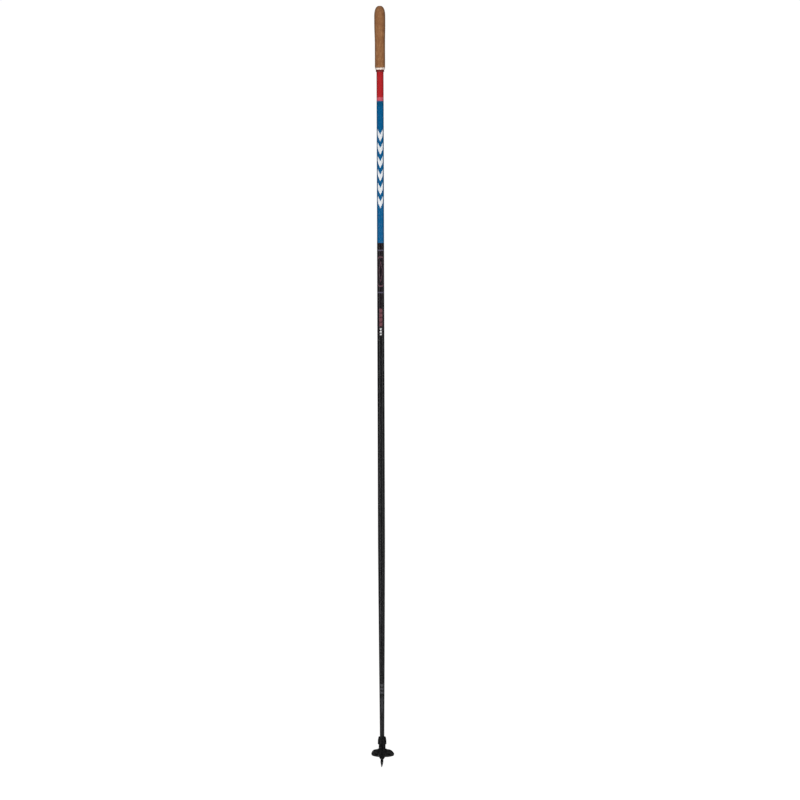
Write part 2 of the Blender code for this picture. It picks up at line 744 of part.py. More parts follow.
def make_basket_disc(home):
    """The soft wing, drawn flat with its pockets and ribs, sloped, and given a boss round the hub."""
    length = DISC_FRONT + DISC_REAR
    half = [(x * DISC_HALF_WIDTH, y * length - DISC_FRONT) for x, y in DISC_OUTLINE]
    outline = half + [(-x, y) for x, y in reversed(half[1:-1])]
    disc = flat_shape("basket_disc", outline, DISC_THICKNESS, home, SOFT_BLACK, rounded=True)
    under = -DISC_THICKNESS / 2
    for side, word in ((1, "right"), (-1, "left")):
        lip = oval("lip_" + word, LIP_WIDTH, under - LIP_HEIGHT, 0, side, home)
        change(disc, lip, "UNION")
    for number, degrees in enumerate(RIB_ANGLES):
        change(disc, make_rib("rib_" + str(number), degrees, home), "UNION")
    for side, word in ((1, "right"), (-1, "left")):
        sunk = oval("pocket_" + word, 0, under - 2 * LIP_HEIGHT, under + POCKET_SINK, side, home)
        change(disc, sunk)
    keep_result(disc)

    def sloped(point):
        point.z += NECK_BASE - DISC_DROP - DISC_SLOPE * (point.y + DISC_FRONT)
        return point

    move_points(disc, sloped)
    boss_bottom = BOSS_TOP - BOSS_HEIGHT
    boss = turned(
        "disc_boss",
        [
            (0, BOSS_TOP),
            (BOSS_RADIUS - BOSS_WALL / 2, BOSS_TOP),
            (BOSS_RADIUS, BOSS_TOP - BOSS_WALL / 2),
            (BOSS_RADIUS, boss_bottom + BOSS_WALL / 2),
            (BOSS_RADIUS - BOSS_WALL / 2, boss_bottom),
            (0, boss_bottom),
        ],
        home,
        facets=SMALL_ROUND,
    )
    change(disc, boss, "UNION")
    change(disc, prism("boss_bore", HUB_RADIUS + GAP, 0, NUT_TOP, home))
    groove_top = NECK_BASE - HUB_FLANGE_BELOW + GAP
    groove_bottom = groove_top - HUB_FLANGE_HEIGHT - 2 * GAP
    reach = HUB_RADIUS + HUB_FLANGE_REACH + GAP
    change(disc, prism("boss_groove", reach, groove_bottom, groove_top, home))


# Lock nut, collet and seal


def nut_radius(height):
    curve_bottom = NUT_BOTTOM + NUT_SKIRT
    share = max(0, (height - curve_bottom) / (NUT_TOP - curve_bottom))
    return NUT_RADIUS - NUT_FLARE * share**NUT_FLARE_POWER


def make_lock_nut(home, ridge_bottom):
    steps = 5
    curve_bottom = NUT_BOTTOM + NUT_SKIRT
    outline = [(NUT_HOLE_RADIUS, NUT_TOP), (nut_radius(NUT_TOP) - NUT_CHAMFER, NUT_TOP)]
    for step in range(steps + 1):
        height = NUT_TOP - NUT_CHAMFER + (curve_bottom - NUT_TOP + NUT_CHAMFER) * step / steps
        outline.append((nut_radius(height), height))
    groove = RING_CENTRE_RADIUS + RING_RADIUS + GAP
    groove_bottom = RING_HEIGHT - RING_RADIUS - GAP
    groove_top = RING_HEIGHT + RING_RADIUS + GAP
    lip_radius = COLLET_NECK_RADIUS + GAP
    outline += [
        (NUT_RADIUS, NUT_BOTTOM + NUT_CHAMFER),
        (NUT_RADIUS - NUT_CHAMFER, NUT_BOTTOM),
        (NUT_BORE_RADIUS + THREAD_DEPTH, NUT_BOTTOM),
        (NUT_BORE_RADIUS, NUT_BOTTOM + THREAD_DEPTH),
        (NUT_BORE_RADIUS, LIP_BOTTOM),
        (lip_radius, LIP_BOTTOM),
        (lip_radius, LIP_TOP),
        (COLLET_FLANGE_RADIUS + GAP, LIP_TOP),
        (COLLET_FLANGE_RADIUS + GAP, SHOULDER),
        (NUT_HOLE_RADIUS, SHOULDER),
        (NUT_HOLE_RADIUS, groove_bottom),
        (groove, groove_bottom),
        (groove, groove_top),
        (NUT_HOLE_RADIUS, groove_top),
    ]
    nut = turned("lock_nut", outline, home, BLACK_PLASTIC, 2 * SMALL_ROUND)
    bottom = ridge_bottom - THREAD_LEAD * round(NUT_HEIGHT / THREAD_LEAD / 2)
    inner = NUT_BORE_RADIUS - THREAD_DEPTH / 2
    crest = THREAD_CREST_RADIUS + THREAD_GAP
    wide = THREAD_ROOT_WIDTH + 2 * THREAD_GAP
    narrow = THREAD_CREST_WIDTH + 2 * THREAD_GAP
    turns = (LIP_BOTTOM - wide / 2 - GAP / 2 - bottom) / THREAD_LEAD
    change(nut, helix("nut_thread", inner, NUT_BORE_RADIUS - GAP, crest, wide, narrow, bottom, turns, home))
    for number in range(FLUTES):
        change(nut, make_flute("flute_" + str(number), 2 * math.pi * (number + 0.5) / FLUTES, home))


def make_flute(name, angle, home):
    """A round groove down the nut's side, leaning with the side."""
    lower, upper = NUT_BOTTOM - FLUTE_RADIUS, NUT_TOP + FLUTE_RADIUS
    out = FLUTE_RADIUS - FLUTE_DEPTH
    low_radius = NUT_RADIUS + out
    high_radius = nut_radius(NUT_TOP) + out
    rings = []
    for height, radius in ((lower, low_radius), (upper, high_radius)):
        ring = []
        for step in range(10):
            turn = 2 * math.pi * step / 10
            x = radius + FLUTE_RADIUS * math.cos(turn)
            y = FLUTE_RADIUS * math.sin(turn)
            ring.append(Matrix.Rotation(angle, 3, "Z") @ Vector((x, y, height)))
        rings.append(ring)
    return loft(name, rings, home)


def make_seal_ring(home):
    outline = []
    for step in range(8):
        angle = math.pi / 2 - 2 * math.pi * step / 8
        x = RING_CENTRE_RADIUS + RING_RADIUS * math.cos(angle)
        outline.append((x, RING_HEIGHT + RING_RADIUS * math.sin(angle)))
    turned("nut_seal_ring", outline, home, SEAL_RUBBER, SMALL_ROUND)


def make_split_collet(home):
    foot = MOUTH_FLOOR + GAP
    outline = [
        (BORE_RADIUS, FLANGE_TOP),
        (COLLET_FLANGE_RADIUS, FLANGE_TOP),
        (COLLET_FLANGE_RADIUS, FLANGE_BOTTOM),
        (COLLET_NECK_RADIUS, FLANGE_BOTTOM),
        (COLLET_NECK_RADIUS, HUB_TOP),
        (COLLET_FOOT_RADIUS, foot),
        (BORE_RADIUS, foot),
    ]
    collet = turned("split_collet", outline, home, COLLET_PLASTIC, SMALL_ROUND)
    for number in range(COLLET_SLITS):
        wide = SLIT_WIDTH / 2
        slit = block(
            "slit_" + str(number), (0, -wide, foot - GAP), (HUB_RADIUS, wide, foot + SLIT_DEPTH), home
        )
        slit.rotation_euler.z = 2 * math.pi * (number + 0.5) / COLLET_SLITS
        change(collet, slit)


def build():
    grip_home = add_empty("grip_place", TOP_Z)
    wedge_home = add_empty("wedge_slide", TOP_Z)
    tube_home = add_empty("tube_place", POINT_Z)
    basket_home = add_empty("basket_slide", POINT_Z)
    collet_home = add_empty("collet_rise", 0, basket_home)
    nut_home = add_empty("nut_turn", 0, collet_home)
    make_cork_grip(grip_home)
    make_strap_housing(grip_home)
    make_strap_wedge(wedge_home)
    make_grip_core(grip_home)
    make_end_ring(grip_home)
    make_collar(grip_home)
    make_shaft(tube_home)
    make_ferrule(tube_home)
    ridge_bottom = make_basket_hub(basket_home)
    make_basket_disc(basket_home)
    make_tip_sleeve(basket_home)
    make_carbide_tip(basket_home)
    make_split_collet(collet_home)
    make_lock_nut(nut_home, ridge_bottom)
    make_seal_ring(nut_home)


build()
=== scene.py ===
# %% [markdown]
# # A cross-country ski pole
# The pole is one long tapered tube, with a cork grip at its top and a small clamped basket with a hard
# point at its foot. The mechanical model comes in first, as a fixed frame. Every piece made below goes
# where that frame says, in metres, and rides on one of its bodies, so it moves when the joint moves.

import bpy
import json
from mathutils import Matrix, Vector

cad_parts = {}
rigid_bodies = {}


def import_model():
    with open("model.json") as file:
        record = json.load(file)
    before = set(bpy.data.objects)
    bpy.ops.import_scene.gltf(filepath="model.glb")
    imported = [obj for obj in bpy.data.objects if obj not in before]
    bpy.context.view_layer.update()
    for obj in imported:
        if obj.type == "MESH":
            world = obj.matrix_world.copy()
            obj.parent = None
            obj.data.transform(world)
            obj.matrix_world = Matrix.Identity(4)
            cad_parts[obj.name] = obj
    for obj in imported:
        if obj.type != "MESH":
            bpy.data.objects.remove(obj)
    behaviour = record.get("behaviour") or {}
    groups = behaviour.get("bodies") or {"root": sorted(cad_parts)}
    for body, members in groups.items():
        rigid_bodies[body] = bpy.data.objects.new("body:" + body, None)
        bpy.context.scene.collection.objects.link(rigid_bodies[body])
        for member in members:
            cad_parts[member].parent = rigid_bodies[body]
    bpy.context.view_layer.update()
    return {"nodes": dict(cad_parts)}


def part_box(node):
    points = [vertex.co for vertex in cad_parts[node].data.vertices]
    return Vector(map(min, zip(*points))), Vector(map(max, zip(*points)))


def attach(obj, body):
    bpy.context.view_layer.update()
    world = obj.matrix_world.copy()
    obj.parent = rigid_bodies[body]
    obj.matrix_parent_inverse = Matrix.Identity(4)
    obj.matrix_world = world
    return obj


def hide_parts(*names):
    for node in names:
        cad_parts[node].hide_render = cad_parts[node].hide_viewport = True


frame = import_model()

# %% [markdown]
# Two heights place everything: the top of the grip and the point. A grip is easiest to think of from its
# top downwards, and a basket from the point upwards, so two small helpers turn such a distance into a
# height in the frame.

# %% Two helpers for heights
import json
import math

import bmesh
import bpy
import numpy
from mathutils import Vector

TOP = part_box("cork_grip")[1].z
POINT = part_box("carbide_tip")[0].z


def below(distance):
    """The height of a place this far below the top of the grip."""
    return TOP - distance


def above(distance):
    """The height of a place this far above the point."""
    return POINT + distance


print(f"pole length {TOP - POINT:.4f} m")

# %% [markdown]
# The pole is looked at square on from a long way off, so a long lens keeps its ends from spreading. The
# picture takes in a little more than the pole's own length. The camera stands a few degrees round to the
# pole's left hand, which lets the basket show a little of its underside, and the pole leans by a hair.

# %% The camera
LENS = 1000
SENSOR = 36
PICTURE_HEIGHT = 1.8026
CAMERA_TURN = math.radians(5.5)
CAMERA_ROLL = math.radians(0.18)
ROOM_BESIDE = 0.0427  # the pole stands this far to the left of the picture's middle
ROOM_BELOW = 0.0309

distance = PICTURE_HEIGHT * LENS / SENSOR
backwards = Vector((math.sin(CAMERA_TURN), -math.cos(CAMERA_TURN), 0))
rightwards = Vector((math.cos(CAMERA_TURN), math.sin(CAMERA_TURN), 0))
middle = Vector((0, 0, (TOP + POINT) / 2))
lens = bpy.data.cameras.new("portrait_lens")
lens.lens = LENS
lens.sensor_width = SENSOR
camera = bpy.data.objects.new("portrait_camera", lens)
bpy.context.scene.collection.objects.link(camera)
camera.location = middle + backwards * distance + rightwards * ROOM_BESIDE - Vector((0, 0, ROOM_BELOW))
camera.rotation_euler = (math.pi / 2, CAMERA_ROLL, CAMERA_TURN)
bpy.context.scene.camera = camera
print(f"camera {distance:.2f} m away")

# %% [markdown]
# A thin glossy tube is lit by two kinds of lamp. Broad boxes near the camera light its colours and let
# them fall off towards the sides, and they are kept out of the reflections. Tall narrow strips further
# round are there only for the reflections, and show as upright streaks. The back has the same pair, so
# that the pole can be looked at from any side, and one box hangs overhead.

# %% Softboxes


def softbox(name, turn, reach, width, height, power, glossy=False):
    """A tall lamp that faces the pole, turned round from the camera by so many degrees."""
    angle = CAMERA_TURN + math.radians(turn)
    away = Vector((math.sin(angle), -math.cos(angle), 0))
    lamp = bpy.data.lights.new(name, "AREA")
    lamp.shape = "RECTANGLE"
    lamp.size = width
    lamp.size_y = height
    lamp.energy = power
    holder = bpy.data.objects.new(name, lamp)
    bpy.context.scene.collection.objects.link(holder)
    holder.location = middle + away * reach
    holder.rotation_euler = (-away).to_track_quat("-Z", "Y").to_euler()
    holder.visible_camera = False
    holder.visible_glossy = glossy
    holder.visible_diffuse = not glossy
    return holder


for name, turn, power, streak in (("front", 0, 1.0, 1.0), ("back", 180, 0.75, 0.3164)):
    softbox(name + "_box_left", turn - 16, 3.4, 1.0, 2.6, 72 * power)
    softbox(name + "_box_right", turn + 16, 3.4, 1.0, 2.6, 46 * power)
    softbox(name + "_strip_left", turn - 46, 3.0, 0.30, 2.6, 10 * streak, glossy=True)
    softbox(name + "_strip_right", turn + 48, 3.0, 0.30, 2.6, 8 * streak, glossy=True)
for name, turn in (("left_box", -95), ("right_box", 95)):
    softbox(name, turn, 3.4, 1.0, 2.6, 6)
overhead = softbox("overhead_box", 0, 0.0, 1.6, 1.6, 24, glossy=True)
overhead.location.z = TOP + 2.4
overhead.rotation_euler = (0, 0, 0)
overhead.visible_diffuse = True
print(len(bpy.data.lights), "softboxes")

# %% [markdown]
# The surroundings are plain and pale. The world is white where the camera looks straight at it and dimmer
# as a source of light, which is what a white sweep a long way behind the pole does. Colours are shown as
# they are mixed, without a film curve, because paint colours are easier to judge that way. The floor lies
# a little below the point, so that the basket can be drawn off downwards without sinking into it.

# %% World and floor
FLOOR_DROP = 0.045  # below the point
FLOOR_RADIUS = 3.0
FLOOR_FADE = 0.5  # the floor starts to melt into the white this far from the pole
FLOOR_GLOW = 0.9
WORLD_SEEN, WORLD_LIGHT = 1.02, 0.04  # how white the world looks, and how strongly it lights


def node(tree, kind, **settings):
    """A new node, with its settings."""
    made = tree.nodes.new("ShaderNode" + kind)
    for key, value in settings.items():
        setattr(made, key, value)
    return made


def join(tree, socket, value):
    """Links a socket to another one, or sets its plain value."""
    if isinstance(value, bpy.types.NodeSocket):
        tree.links.new(value, socket)
    else:
        socket.default_value = value


def maths(tree, operation, *values, clamp=False):
    made = node(tree, "Math", operation=operation, use_clamp=clamp)
    for socket, value in zip(made.inputs, values):
        join(tree, socket, value)
    return made.outputs[0]


bpy.context.scene.view_settings.view_transform = "Standard"
world = bpy.data.worlds.new("white_sweep")
world.use_nodes = True
bpy.context.scene.world = world
sky = world.node_tree
seen = node(sky, "LightPath").outputs["Is Camera Ray"]
strength = maths(sky, "MULTIPLY_ADD", seen, WORLD_SEEN - WORLD_LIGHT, WORLD_LIGHT)
join(sky, sky.nodes["Background"].inputs["Color"], (1.0, 1.0, 1.0, 1.0))
join(sky, sky.nodes["Background"].inputs["Strength"], strength)

bpy.ops.object.select_all(action="DESELECT")
spot = (0, 0, POINT - FLOOR_DROP)
bpy.ops.mesh.primitive_circle_add(vertices=96, radius=FLOOR_RADIUS, fill_type="NGON", location=spot)
floor = bpy.context.object
floor.name = "floor"
bpy.ops.object.transform_apply()
pale = bpy.data.materials.new("pale_floor")
pale.use_nodes = True
tree = pale.node_tree
shader = tree.nodes["Principled BSDF"]
shader.inputs["Base Color"].default_value = (0.55, 0.55, 0.55, 1)
shader.inputs["Roughness"].default_value = 0.9
shader.inputs["Emission Color"].default_value = (1, 1, 1, 1)
glow = maths(tree, "MULTIPLY", node(tree, "LightPath").outputs["Is Camera Ray"], FLOOR_GLOW)
join(tree, shader.inputs["Emission Strength"], glow)
flat = node(tree, "VectorMath", operation="MULTIPLY")
join(tree, flat.inputs[0], node(tree, "TexCoord").outputs["Object"])
flat.inputs[1].default_value = (1, 1, 0)
reach = node(tree, "VectorMath", operation="LENGTH")
join(tree, reach.inputs[0], flat.outputs[0])
fade = node(tree, "MapRange", interpolation_type="SMOOTHSTEP")
join(tree, fade.inputs[0], reach.outputs["Value"])
fade.inputs[1].default_value = FLOOR_FADE
fade.inputs[2].default_value = FLOOR_RADIUS * 0.9
blend = node(tree, "MixShader")
join(tree, blend.inputs[0], fade.outputs[0])
join(tree, blend.inputs[1], shader.outputs[0])
join(tree, blend.inputs[2], node(tree, "BsdfTransparent").outputs[0])
join(tree, tree.nodes["Material Output"].inputs["Surface"], blend.outputs[0])
floor.data.materials.append(pale)
print("floor radius", FLOOR_RADIUS)

# %% [markdown]
# ## The tools used by hand
# Operators act on all that is selected, so each piece starts with nothing selected. These helpers only
# put names to the steps a person would take: add a primitive, pick some points, apply a modifier, cut one
# shape with another. A finished piece keeps its object at the origin, with its place in its mesh.

# %% Adding, picking, applying


def deselect_all():
    if bpy.context.object and bpy.context.object.mode != "OBJECT":
        bpy.ops.object.mode_set(mode="OBJECT")
    bpy.ops.object.select_all(action="DESELECT")


def named(name):
    """Names the primitive that was just added and puts its place into its mesh."""
    bpy.ops.object.transform_apply()
    made = bpy.context.object
    made.name = made.data.name = name
    return made


def only(piece):
    deselect_all()
    piece.select_set(True)
    bpy.context.view_layer.objects.active = piece


def edit(piece):
    only(piece)
    bpy.ops.object.mode_set(mode="EDIT")


def leave_edit():
    bpy.ops.object.mode_set(mode="OBJECT")


def pick(piece, wanted):
    """In edit mode, selects the points whose place is wanted."""
    bpy.ops.mesh.select_all(action="DESELECT")
    form = bmesh.from_edit_mesh(piece.data)
    for vertex in form.verts:
        if wanted(vertex.co):
            vertex.select_set(True)
    form.select_flush(True)
    bmesh.update_edit_mesh(piece.data)


def apply(piece, kind, **settings):
    """Adds a modifier with its settings and applies it."""
    step = piece.modifiers.new("step", kind)
    for key, value in settings.items():
        setattr(step, key, value)
    only(piece)
    bpy.ops.object.modifier_apply(modifier=step.name)


def combine(piece, tool, operation="DIFFERENCE"):
    """Cuts the piece with the tool, or joins them, and removes the tool."""
    apply(piece, "BOOLEAN", operation=operation, object=tool, solver="EXACT")
    bpy.data.objects.remove(tool)


def round_edges(piece, width, segments=2, degrees=30):
    apply(
        piece,
        "BEVEL",
        width=width,
        segments=segments,
        limit_method="ANGLE",
        angle_limit=math.radians(degrees),
    )


def fill_rim(piece):
    """Closes the piece's one open rim with a face."""
    edit(piece)
    bpy.ops.mesh.select_all(action="DESELECT")
    bpy.ops.mesh.select_non_manifold()
    bpy.ops.mesh.edge_face_add()
    leave_edit()


def count(piece):
    """The number of triangles."""
    return sum(len(face.vertices) - 2 for face in piece.data.polygons)


# %% [markdown]
# Most of a pole is turned work. A turned piece is drawn as a single point that is extruded from corner to
# corner of the outline, as (radius, height) pairs, and the line is then spun round the pole's axis. A
# ring's outline ends where it starts. The doubled points at the seam and on the axis are merged before
# the faces are turned outwards.

# %% Drawing an outline and spinning it
MERGE = 0.000005


def draw_line(name, outline):
    deselect_all()
    bpy.ops.mesh.primitive_plane_add(size=0.001)
    piece = named(name)
    bpy.ops.object.mode_set(mode="EDIT")
    bpy.ops.mesh.select_all(action="SELECT")
    bpy.ops.mesh.merge(type="CENTER")
    bpy.ops.transform.translate(value=(outline[0][0], 0, outline[0][1]))
    for (radius, height), (next_radius, next_height) in zip(outline, outline[1:]):
        move = (next_radius - radius, 0, next_height - height)
        bpy.ops.mesh.extrude_region_move(TRANSFORM_OT_translate={"value": move})
    return piece


def close_up():
    """Merges doubled points and turns the faces outwards, in edit mode."""
    bpy.ops.mesh.select_all(action="SELECT")
    bpy.ops.mesh.remove_doubles(threshold=MERGE)
    bpy.ops.mesh.normals_make_consistent(inside=False)


def turned(name, outline, steps=96):
    piece = draw_line(name, outline)
    bpy.ops.mesh.select_all(action="SELECT")
    bpy.ops.mesh.spin(steps=steps, angle=2 * math.pi, center=(0, 0, 0), axis=(0, 0, 1))
    close_up()
    leave_edit()
    return piece


def block(name, low, high):
    """A box between two corners."""
    deselect_all()
    size = [b - a for a, b in zip(low, high)]
    centre = [(a + b) / 2 for a, b in zip(low, high)]
    bpy.ops.mesh.primitive_cube_add(size=1, location=centre, scale=size)
    return named(name)


def cylinder(name, radius, low, high, sides=96):
    """An upright cylinder on the axis."""
    deselect_all()
    bpy.ops.mesh.primitive_cylinder_add(
        vertices=sides, radius=radius, depth=high - low, location=(0, 0, (low + high) / 2)
    )
    return named(name)


# %% [markdown]
# Each finished piece is shaded smooth up to a given angle, gets its material, rides on its body and hides
# the node of the frame that it stands for.

# %% Putting a finished piece in place


def put(piece, look, body, cad_node, degrees=35):
    only(piece)
    bpy.ops.object.shade_smooth_by_angle(angle=math.radians(degrees))
    piece.data.materials.clear()
    piece.data.materials.append(look)
    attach(piece, body)
    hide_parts(cad_node)
    print(f"{piece.name}: {count(piece)} triangles")
    return piece


# %% [markdown]
# ## Finishes
# All patterns read object coordinates, which are metres in the frame, so a scale of 1000 is a pattern of
# one millimetre. These helpers make the few kinds of node that the finishes share.

# %% Pattern helpers


def colour(code):
    """A colour from its six-digit web code."""
    parts = [int(code[i : i + 2], 16) / 255 for i in (0, 2, 4)]
    return (*[part / 12.92 if part <= 0.04045 else ((part + 0.055) / 1.055) ** 2.4 for part in parts], 1)


def mixed(tree, factor, first, second, kind="MIX"):
    made = node(tree, "Mix", data_type="RGBA", blend_type=kind)
    join(tree, made.inputs[0], factor)
    join(tree, made.inputs[6], first)
    join(tree, made.inputs[7], second)
    return made.outputs[2]


def ranged(tree, value, start, end, low=0.0, high=1.0):
    """Goes smoothly from low to high as the value goes from start to end."""
    made = node(tree, "MapRange", interpolation_type="SMOOTHSTEP")
    for socket, given in zip(made.inputs, (value, start, end, low, high)):
        join(tree, socket, given)
    return made.outputs[0]


def on_object(tree, stretch=(1, 1, 1), turn=0.0):
    """Object coordinates, stretched, or turned round the pole."""
    made = node(tree, "Mapping")
    join(tree, made.inputs["Vector"], node(tree, "TexCoord").outputs["Object"])
    made.inputs["Scale"].default_value = stretch
    made.inputs["Rotation"].default_value = (0, 0, turn)
    return made.outputs[0]


def noise(tree, place, scale, detail=3.0, rough=0.5):
    made = node(tree, "TexNoise")
    join(tree, made.inputs["Vector"], place)
    join(tree, made.inputs["Scale"], scale)
    made.inputs["Detail"].default_value = detail
    made.inputs["Roughness"].default_value = rough
    return made.outputs[0]


def cells(tree, place, scale, feature="F1", output="Distance"):
    made = node(tree, "TexVoronoi", feature=feature)
    join(tree, made.inputs["Vector"], place)
    join(tree, made.inputs["Scale"], scale)
    return made.outputs[output]


def new_look(name, roughness, metallic=0.0, **constants):
    """A material whose plain numbers sit on its shader. Gives its node tree and shader too."""
    made = bpy.data.materials.new(name)
    made.use_nodes = True
    shader = made.node_tree.nodes["Principled BSDF"]
    shader.inputs["Roughness"].default_value = roughness
    shader.inputs["Metallic"].default_value = metallic
    for key, value in constants.items():
        shader.inputs[key.replace("_", " ")].default_value = value
    return made, made.node_tree, shader


def bumped(tree, shader, height, depth, strength=1.0):
    made = node(tree, "Bump")
    made.inputs["Distance"].default_value = depth
    made.inputs["Strength"].default_value = strength
    join(tree, made.inputs["Height"], height)
    join(tree, shader.inputs["Normal"], made.outputs[0])


def new_group(name, inputs, outputs):
    """A shader node group with number sockets. Gives its tree and its inner input and output nodes."""
    group = bpy.data.node_groups.new(name, "ShaderNodeTree")
    for label in inputs:
        group.interface.new_socket(name=label, in_out="INPUT", socket_type="NodeSocketFloat")
    for label in outputs:
        group.interface.new_socket(name=label, in_out="OUTPUT", socket_type="NodeSocketFloat")
    return group, group.nodes.new("NodeGroupInput"), group.nodes.new("NodeGroupOutput")


def use_group(tree, group, **values):
    made = node(tree, "Group")
    made.node_tree = group
    for key, value in values.items():
        join(tree, made.inputs[key.replace("_", " ")], value)
    return made


# %% [markdown]
# Three effects turn up on several materials, so each is a node group that is built once. Moulded grain is
# the fine tooth of a moulding tool with a broad unevenness over it. Worn edges are found by how sharply
# the surface turns, broken up by noise. Scuffs are short fine scratches that run round and along.

# %% Groups for grain, wear and scuffs
GRAIN, given, result = new_group("moulded_grain", ["Scale"], ["Height", "Mottle"])
here = node(GRAIN, "TexCoord").outputs["Object"]
tooth = noise(GRAIN, here, given.outputs["Scale"], 2.0)
join(GRAIN, result.inputs["Height"], tooth)
broad = maths(GRAIN, "MULTIPLY", given.outputs["Scale"], 0.12)
join(GRAIN, result.inputs["Mottle"], ranged(GRAIN, noise(GRAIN, here, broad, 4.0, 0.6), 0.3, 0.7))

WEAR, given, result = new_group("worn_edges", ["Amount"], ["Mask"])
corner = ranged(WEAR, node(WEAR, "NewGeometry").outputs["Pointiness"], 0.52, 0.60)
here = node(WEAR, "TexCoord").outputs["Object"]
patchy = ranged(WEAR, noise(WEAR, here, 700.0, 4.0, 0.65), 0.42, 0.62)
rubbed = maths(WEAR, "MULTIPLY", corner, patchy)
join(WEAR, result.inputs["Mask"], maths(WEAR, "MULTIPLY", rubbed, given.outputs["Amount"], clamp=True))

SCUFFS, given, result = new_group("scuffs", ["Scale", "Amount"], ["Mask"])
along = noise(SCUFFS, on_object(SCUFFS, (1, 1, 0.06), 0.3), given.outputs["Scale"], 2.0)
around = noise(SCUFFS, on_object(SCUFFS, (0.08, 0.08, 1.6)), given.outputs["Scale"], 2.0)
crossed = maths(SCUFFS, "MAXIMUM", ranged(SCUFFS, along, 0.70, 0.78), ranged(SCUFFS, around, 0.72, 0.80))
join(SCUFFS, result.inputs["Mask"], maths(SCUFFS, "MULTIPLY", crossed, given.outputs["Amount"], clamp=True))
print("groups:", GRAIN.name, WEAR.name, SCUFFS.name)

# %% [markdown]
# Moulded plastics differ only in colour, gloss, grain and how much they are rubbed, so one function makes
# them all. Rubbed corners go paler and duller, and the broad mottle shifts both colour and gloss a little,
# which keeps a black part from looking like a hole.

# %% Plastics and rubber


def shaded(code, share):
    """A colour made darker, to this share of its strength."""
    return (*[part * share for part in colour(code)[:3]], 1)


def plastic(
    name, base, roughness, grain=2500.0, depth=0.00003, wear=0.5, pale="3e3e40", scuff=0.3, dark=0.72
):
    look, tree, shader = new_look(name, roughness, Specular_IOR_Level=0.4)
    tone = use_group(tree, GRAIN, Scale=grain)
    worn = use_group(tree, WEAR, Amount=wear).outputs["Mask"]
    scratched = use_group(tree, SCUFFS, Scale=900.0, Amount=scuff).outputs["Mask"]
    body = mixed(tree, tone.outputs["Mottle"], shaded(base, dark), colour(base))
    body = mixed(tree, worn, body, colour(pale))
    body = mixed(tree, maths(tree, "MULTIPLY", scratched, 0.5), body, colour(pale))
    join(tree, shader.inputs["Base Color"], body)
    gloss = ranged(tree, tone.outputs["Mottle"], 0.0, 1.0, roughness - 0.06, roughness + 0.08)
    gloss = maths(tree, "ADD", gloss, maths(tree, "MULTIPLY", scratched, 0.15), clamp=True)
    join(tree, shader.inputs["Roughness"], gloss)
    height = maths(tree, "SUBTRACT", tone.outputs["Height"], scratched)
    bumped(tree, shader, height, depth)
    return look


housing_look = plastic("housing_plastic", "161618", 0.42)
wedge_look = plastic("wedge_plastic", "1b1b1d", 0.38)
core_look = plastic("core_plastic", "141415", 0.5)
white_look = plastic("white_plastic", "fff0e4", 0.38, wear=0.15, pale="e0d8cc", scuff=0.2, dark=0.94)
collar_look = plastic("red_collar", "872c2b", 0.36, wear=0.3, pale="a04a48", scuff=0.3)
nut_look = plastic("nut_plastic", "0a0a0c", 0.40, wear=0.5)
hub_look = plastic("hub_plastic", "08080a", 0.42, wear=0.4)
collet_look = plastic("collet_plastic", "93938d", 0.45, wear=0.3, pale="b5b5ae")
disc_look = plastic("soft_plastic", "08080a", 0.50, grain=1800.0, depth=0.00004, wear=0.5, scuff=0.3)
seal_look = plastic("seal_rubber", "0e0e0f", 0.62, grain=4000.0, wear=0.2, scuff=0.1)
print("10 plastics")

# %% [markdown]
# The ferrule is dark anodised aluminium, the sleeve is dark steel and the point is hard metal. Turning leaves
# fine rings round a part, so their brightness and gloss follow a noise that is stretched flat. Metal that
# meets ice and grit is also scratched, and bare on its corners.

# %% Metals


def metal(name, base, roughness, rings=2600.0, wear=0.8, bare="9a9a9e", scuff=0.8):
    look, tree, shader = new_look(name, roughness, metallic=1.0)
    turning = noise(tree, on_object(tree, (0.03, 0.03, 1)), rings, 3.0)
    mottle = use_group(tree, GRAIN, Scale=1500.0).outputs["Mottle"]
    worn = use_group(tree, WEAR, Amount=wear).outputs["Mask"]
    scratched = use_group(tree, SCUFFS, Scale=1300.0, Amount=scuff).outputs["Mask"]
    body = mixed(tree, mottle, shaded(base, 0.6), colour(base))
    body = mixed(tree, ranged(tree, turning, 0.4, 0.65, 0.0, 0.3), body, colour(bare))
    body = mixed(tree, maths(tree, "MAXIMUM", worn, scratched), body, colour(bare))
    join(tree, shader.inputs["Base Color"], body)
    gloss = ranged(tree, turning, 0.3, 0.7, roughness - 0.08, roughness + 0.12)
    join(tree, shader.inputs["Roughness"], gloss)
    bumped(tree, shader, maths(tree, "SUBTRACT", turning, scratched), 0.00003)
    return look


ferrule_look = metal("ferrule_metal", "3b3c3f", 0.34, bare="a5a6a9", wear=0.5, scuff=0.5)
steel_look = metal("dark_steel", "1f1f22", 0.38, bare="6c6c70", scuff=0.6)
hard_look = metal("hard_metal", "1a1a1d", 0.42, bare="505055", scuff=0.5)
print("3 metals")

# %% [markdown]
# Natural cork is a mid brown with a broad mottle, a fine upright grain, and dark corky streaks called
# lenticels that run up and down. Its pits are cut into the mesh later, and the depth of each pit is kept
# on the mesh as an attribute, so that the colour can darken in the very same places.

# %% Cork
PIT_ATTRIBUTE = "pit"

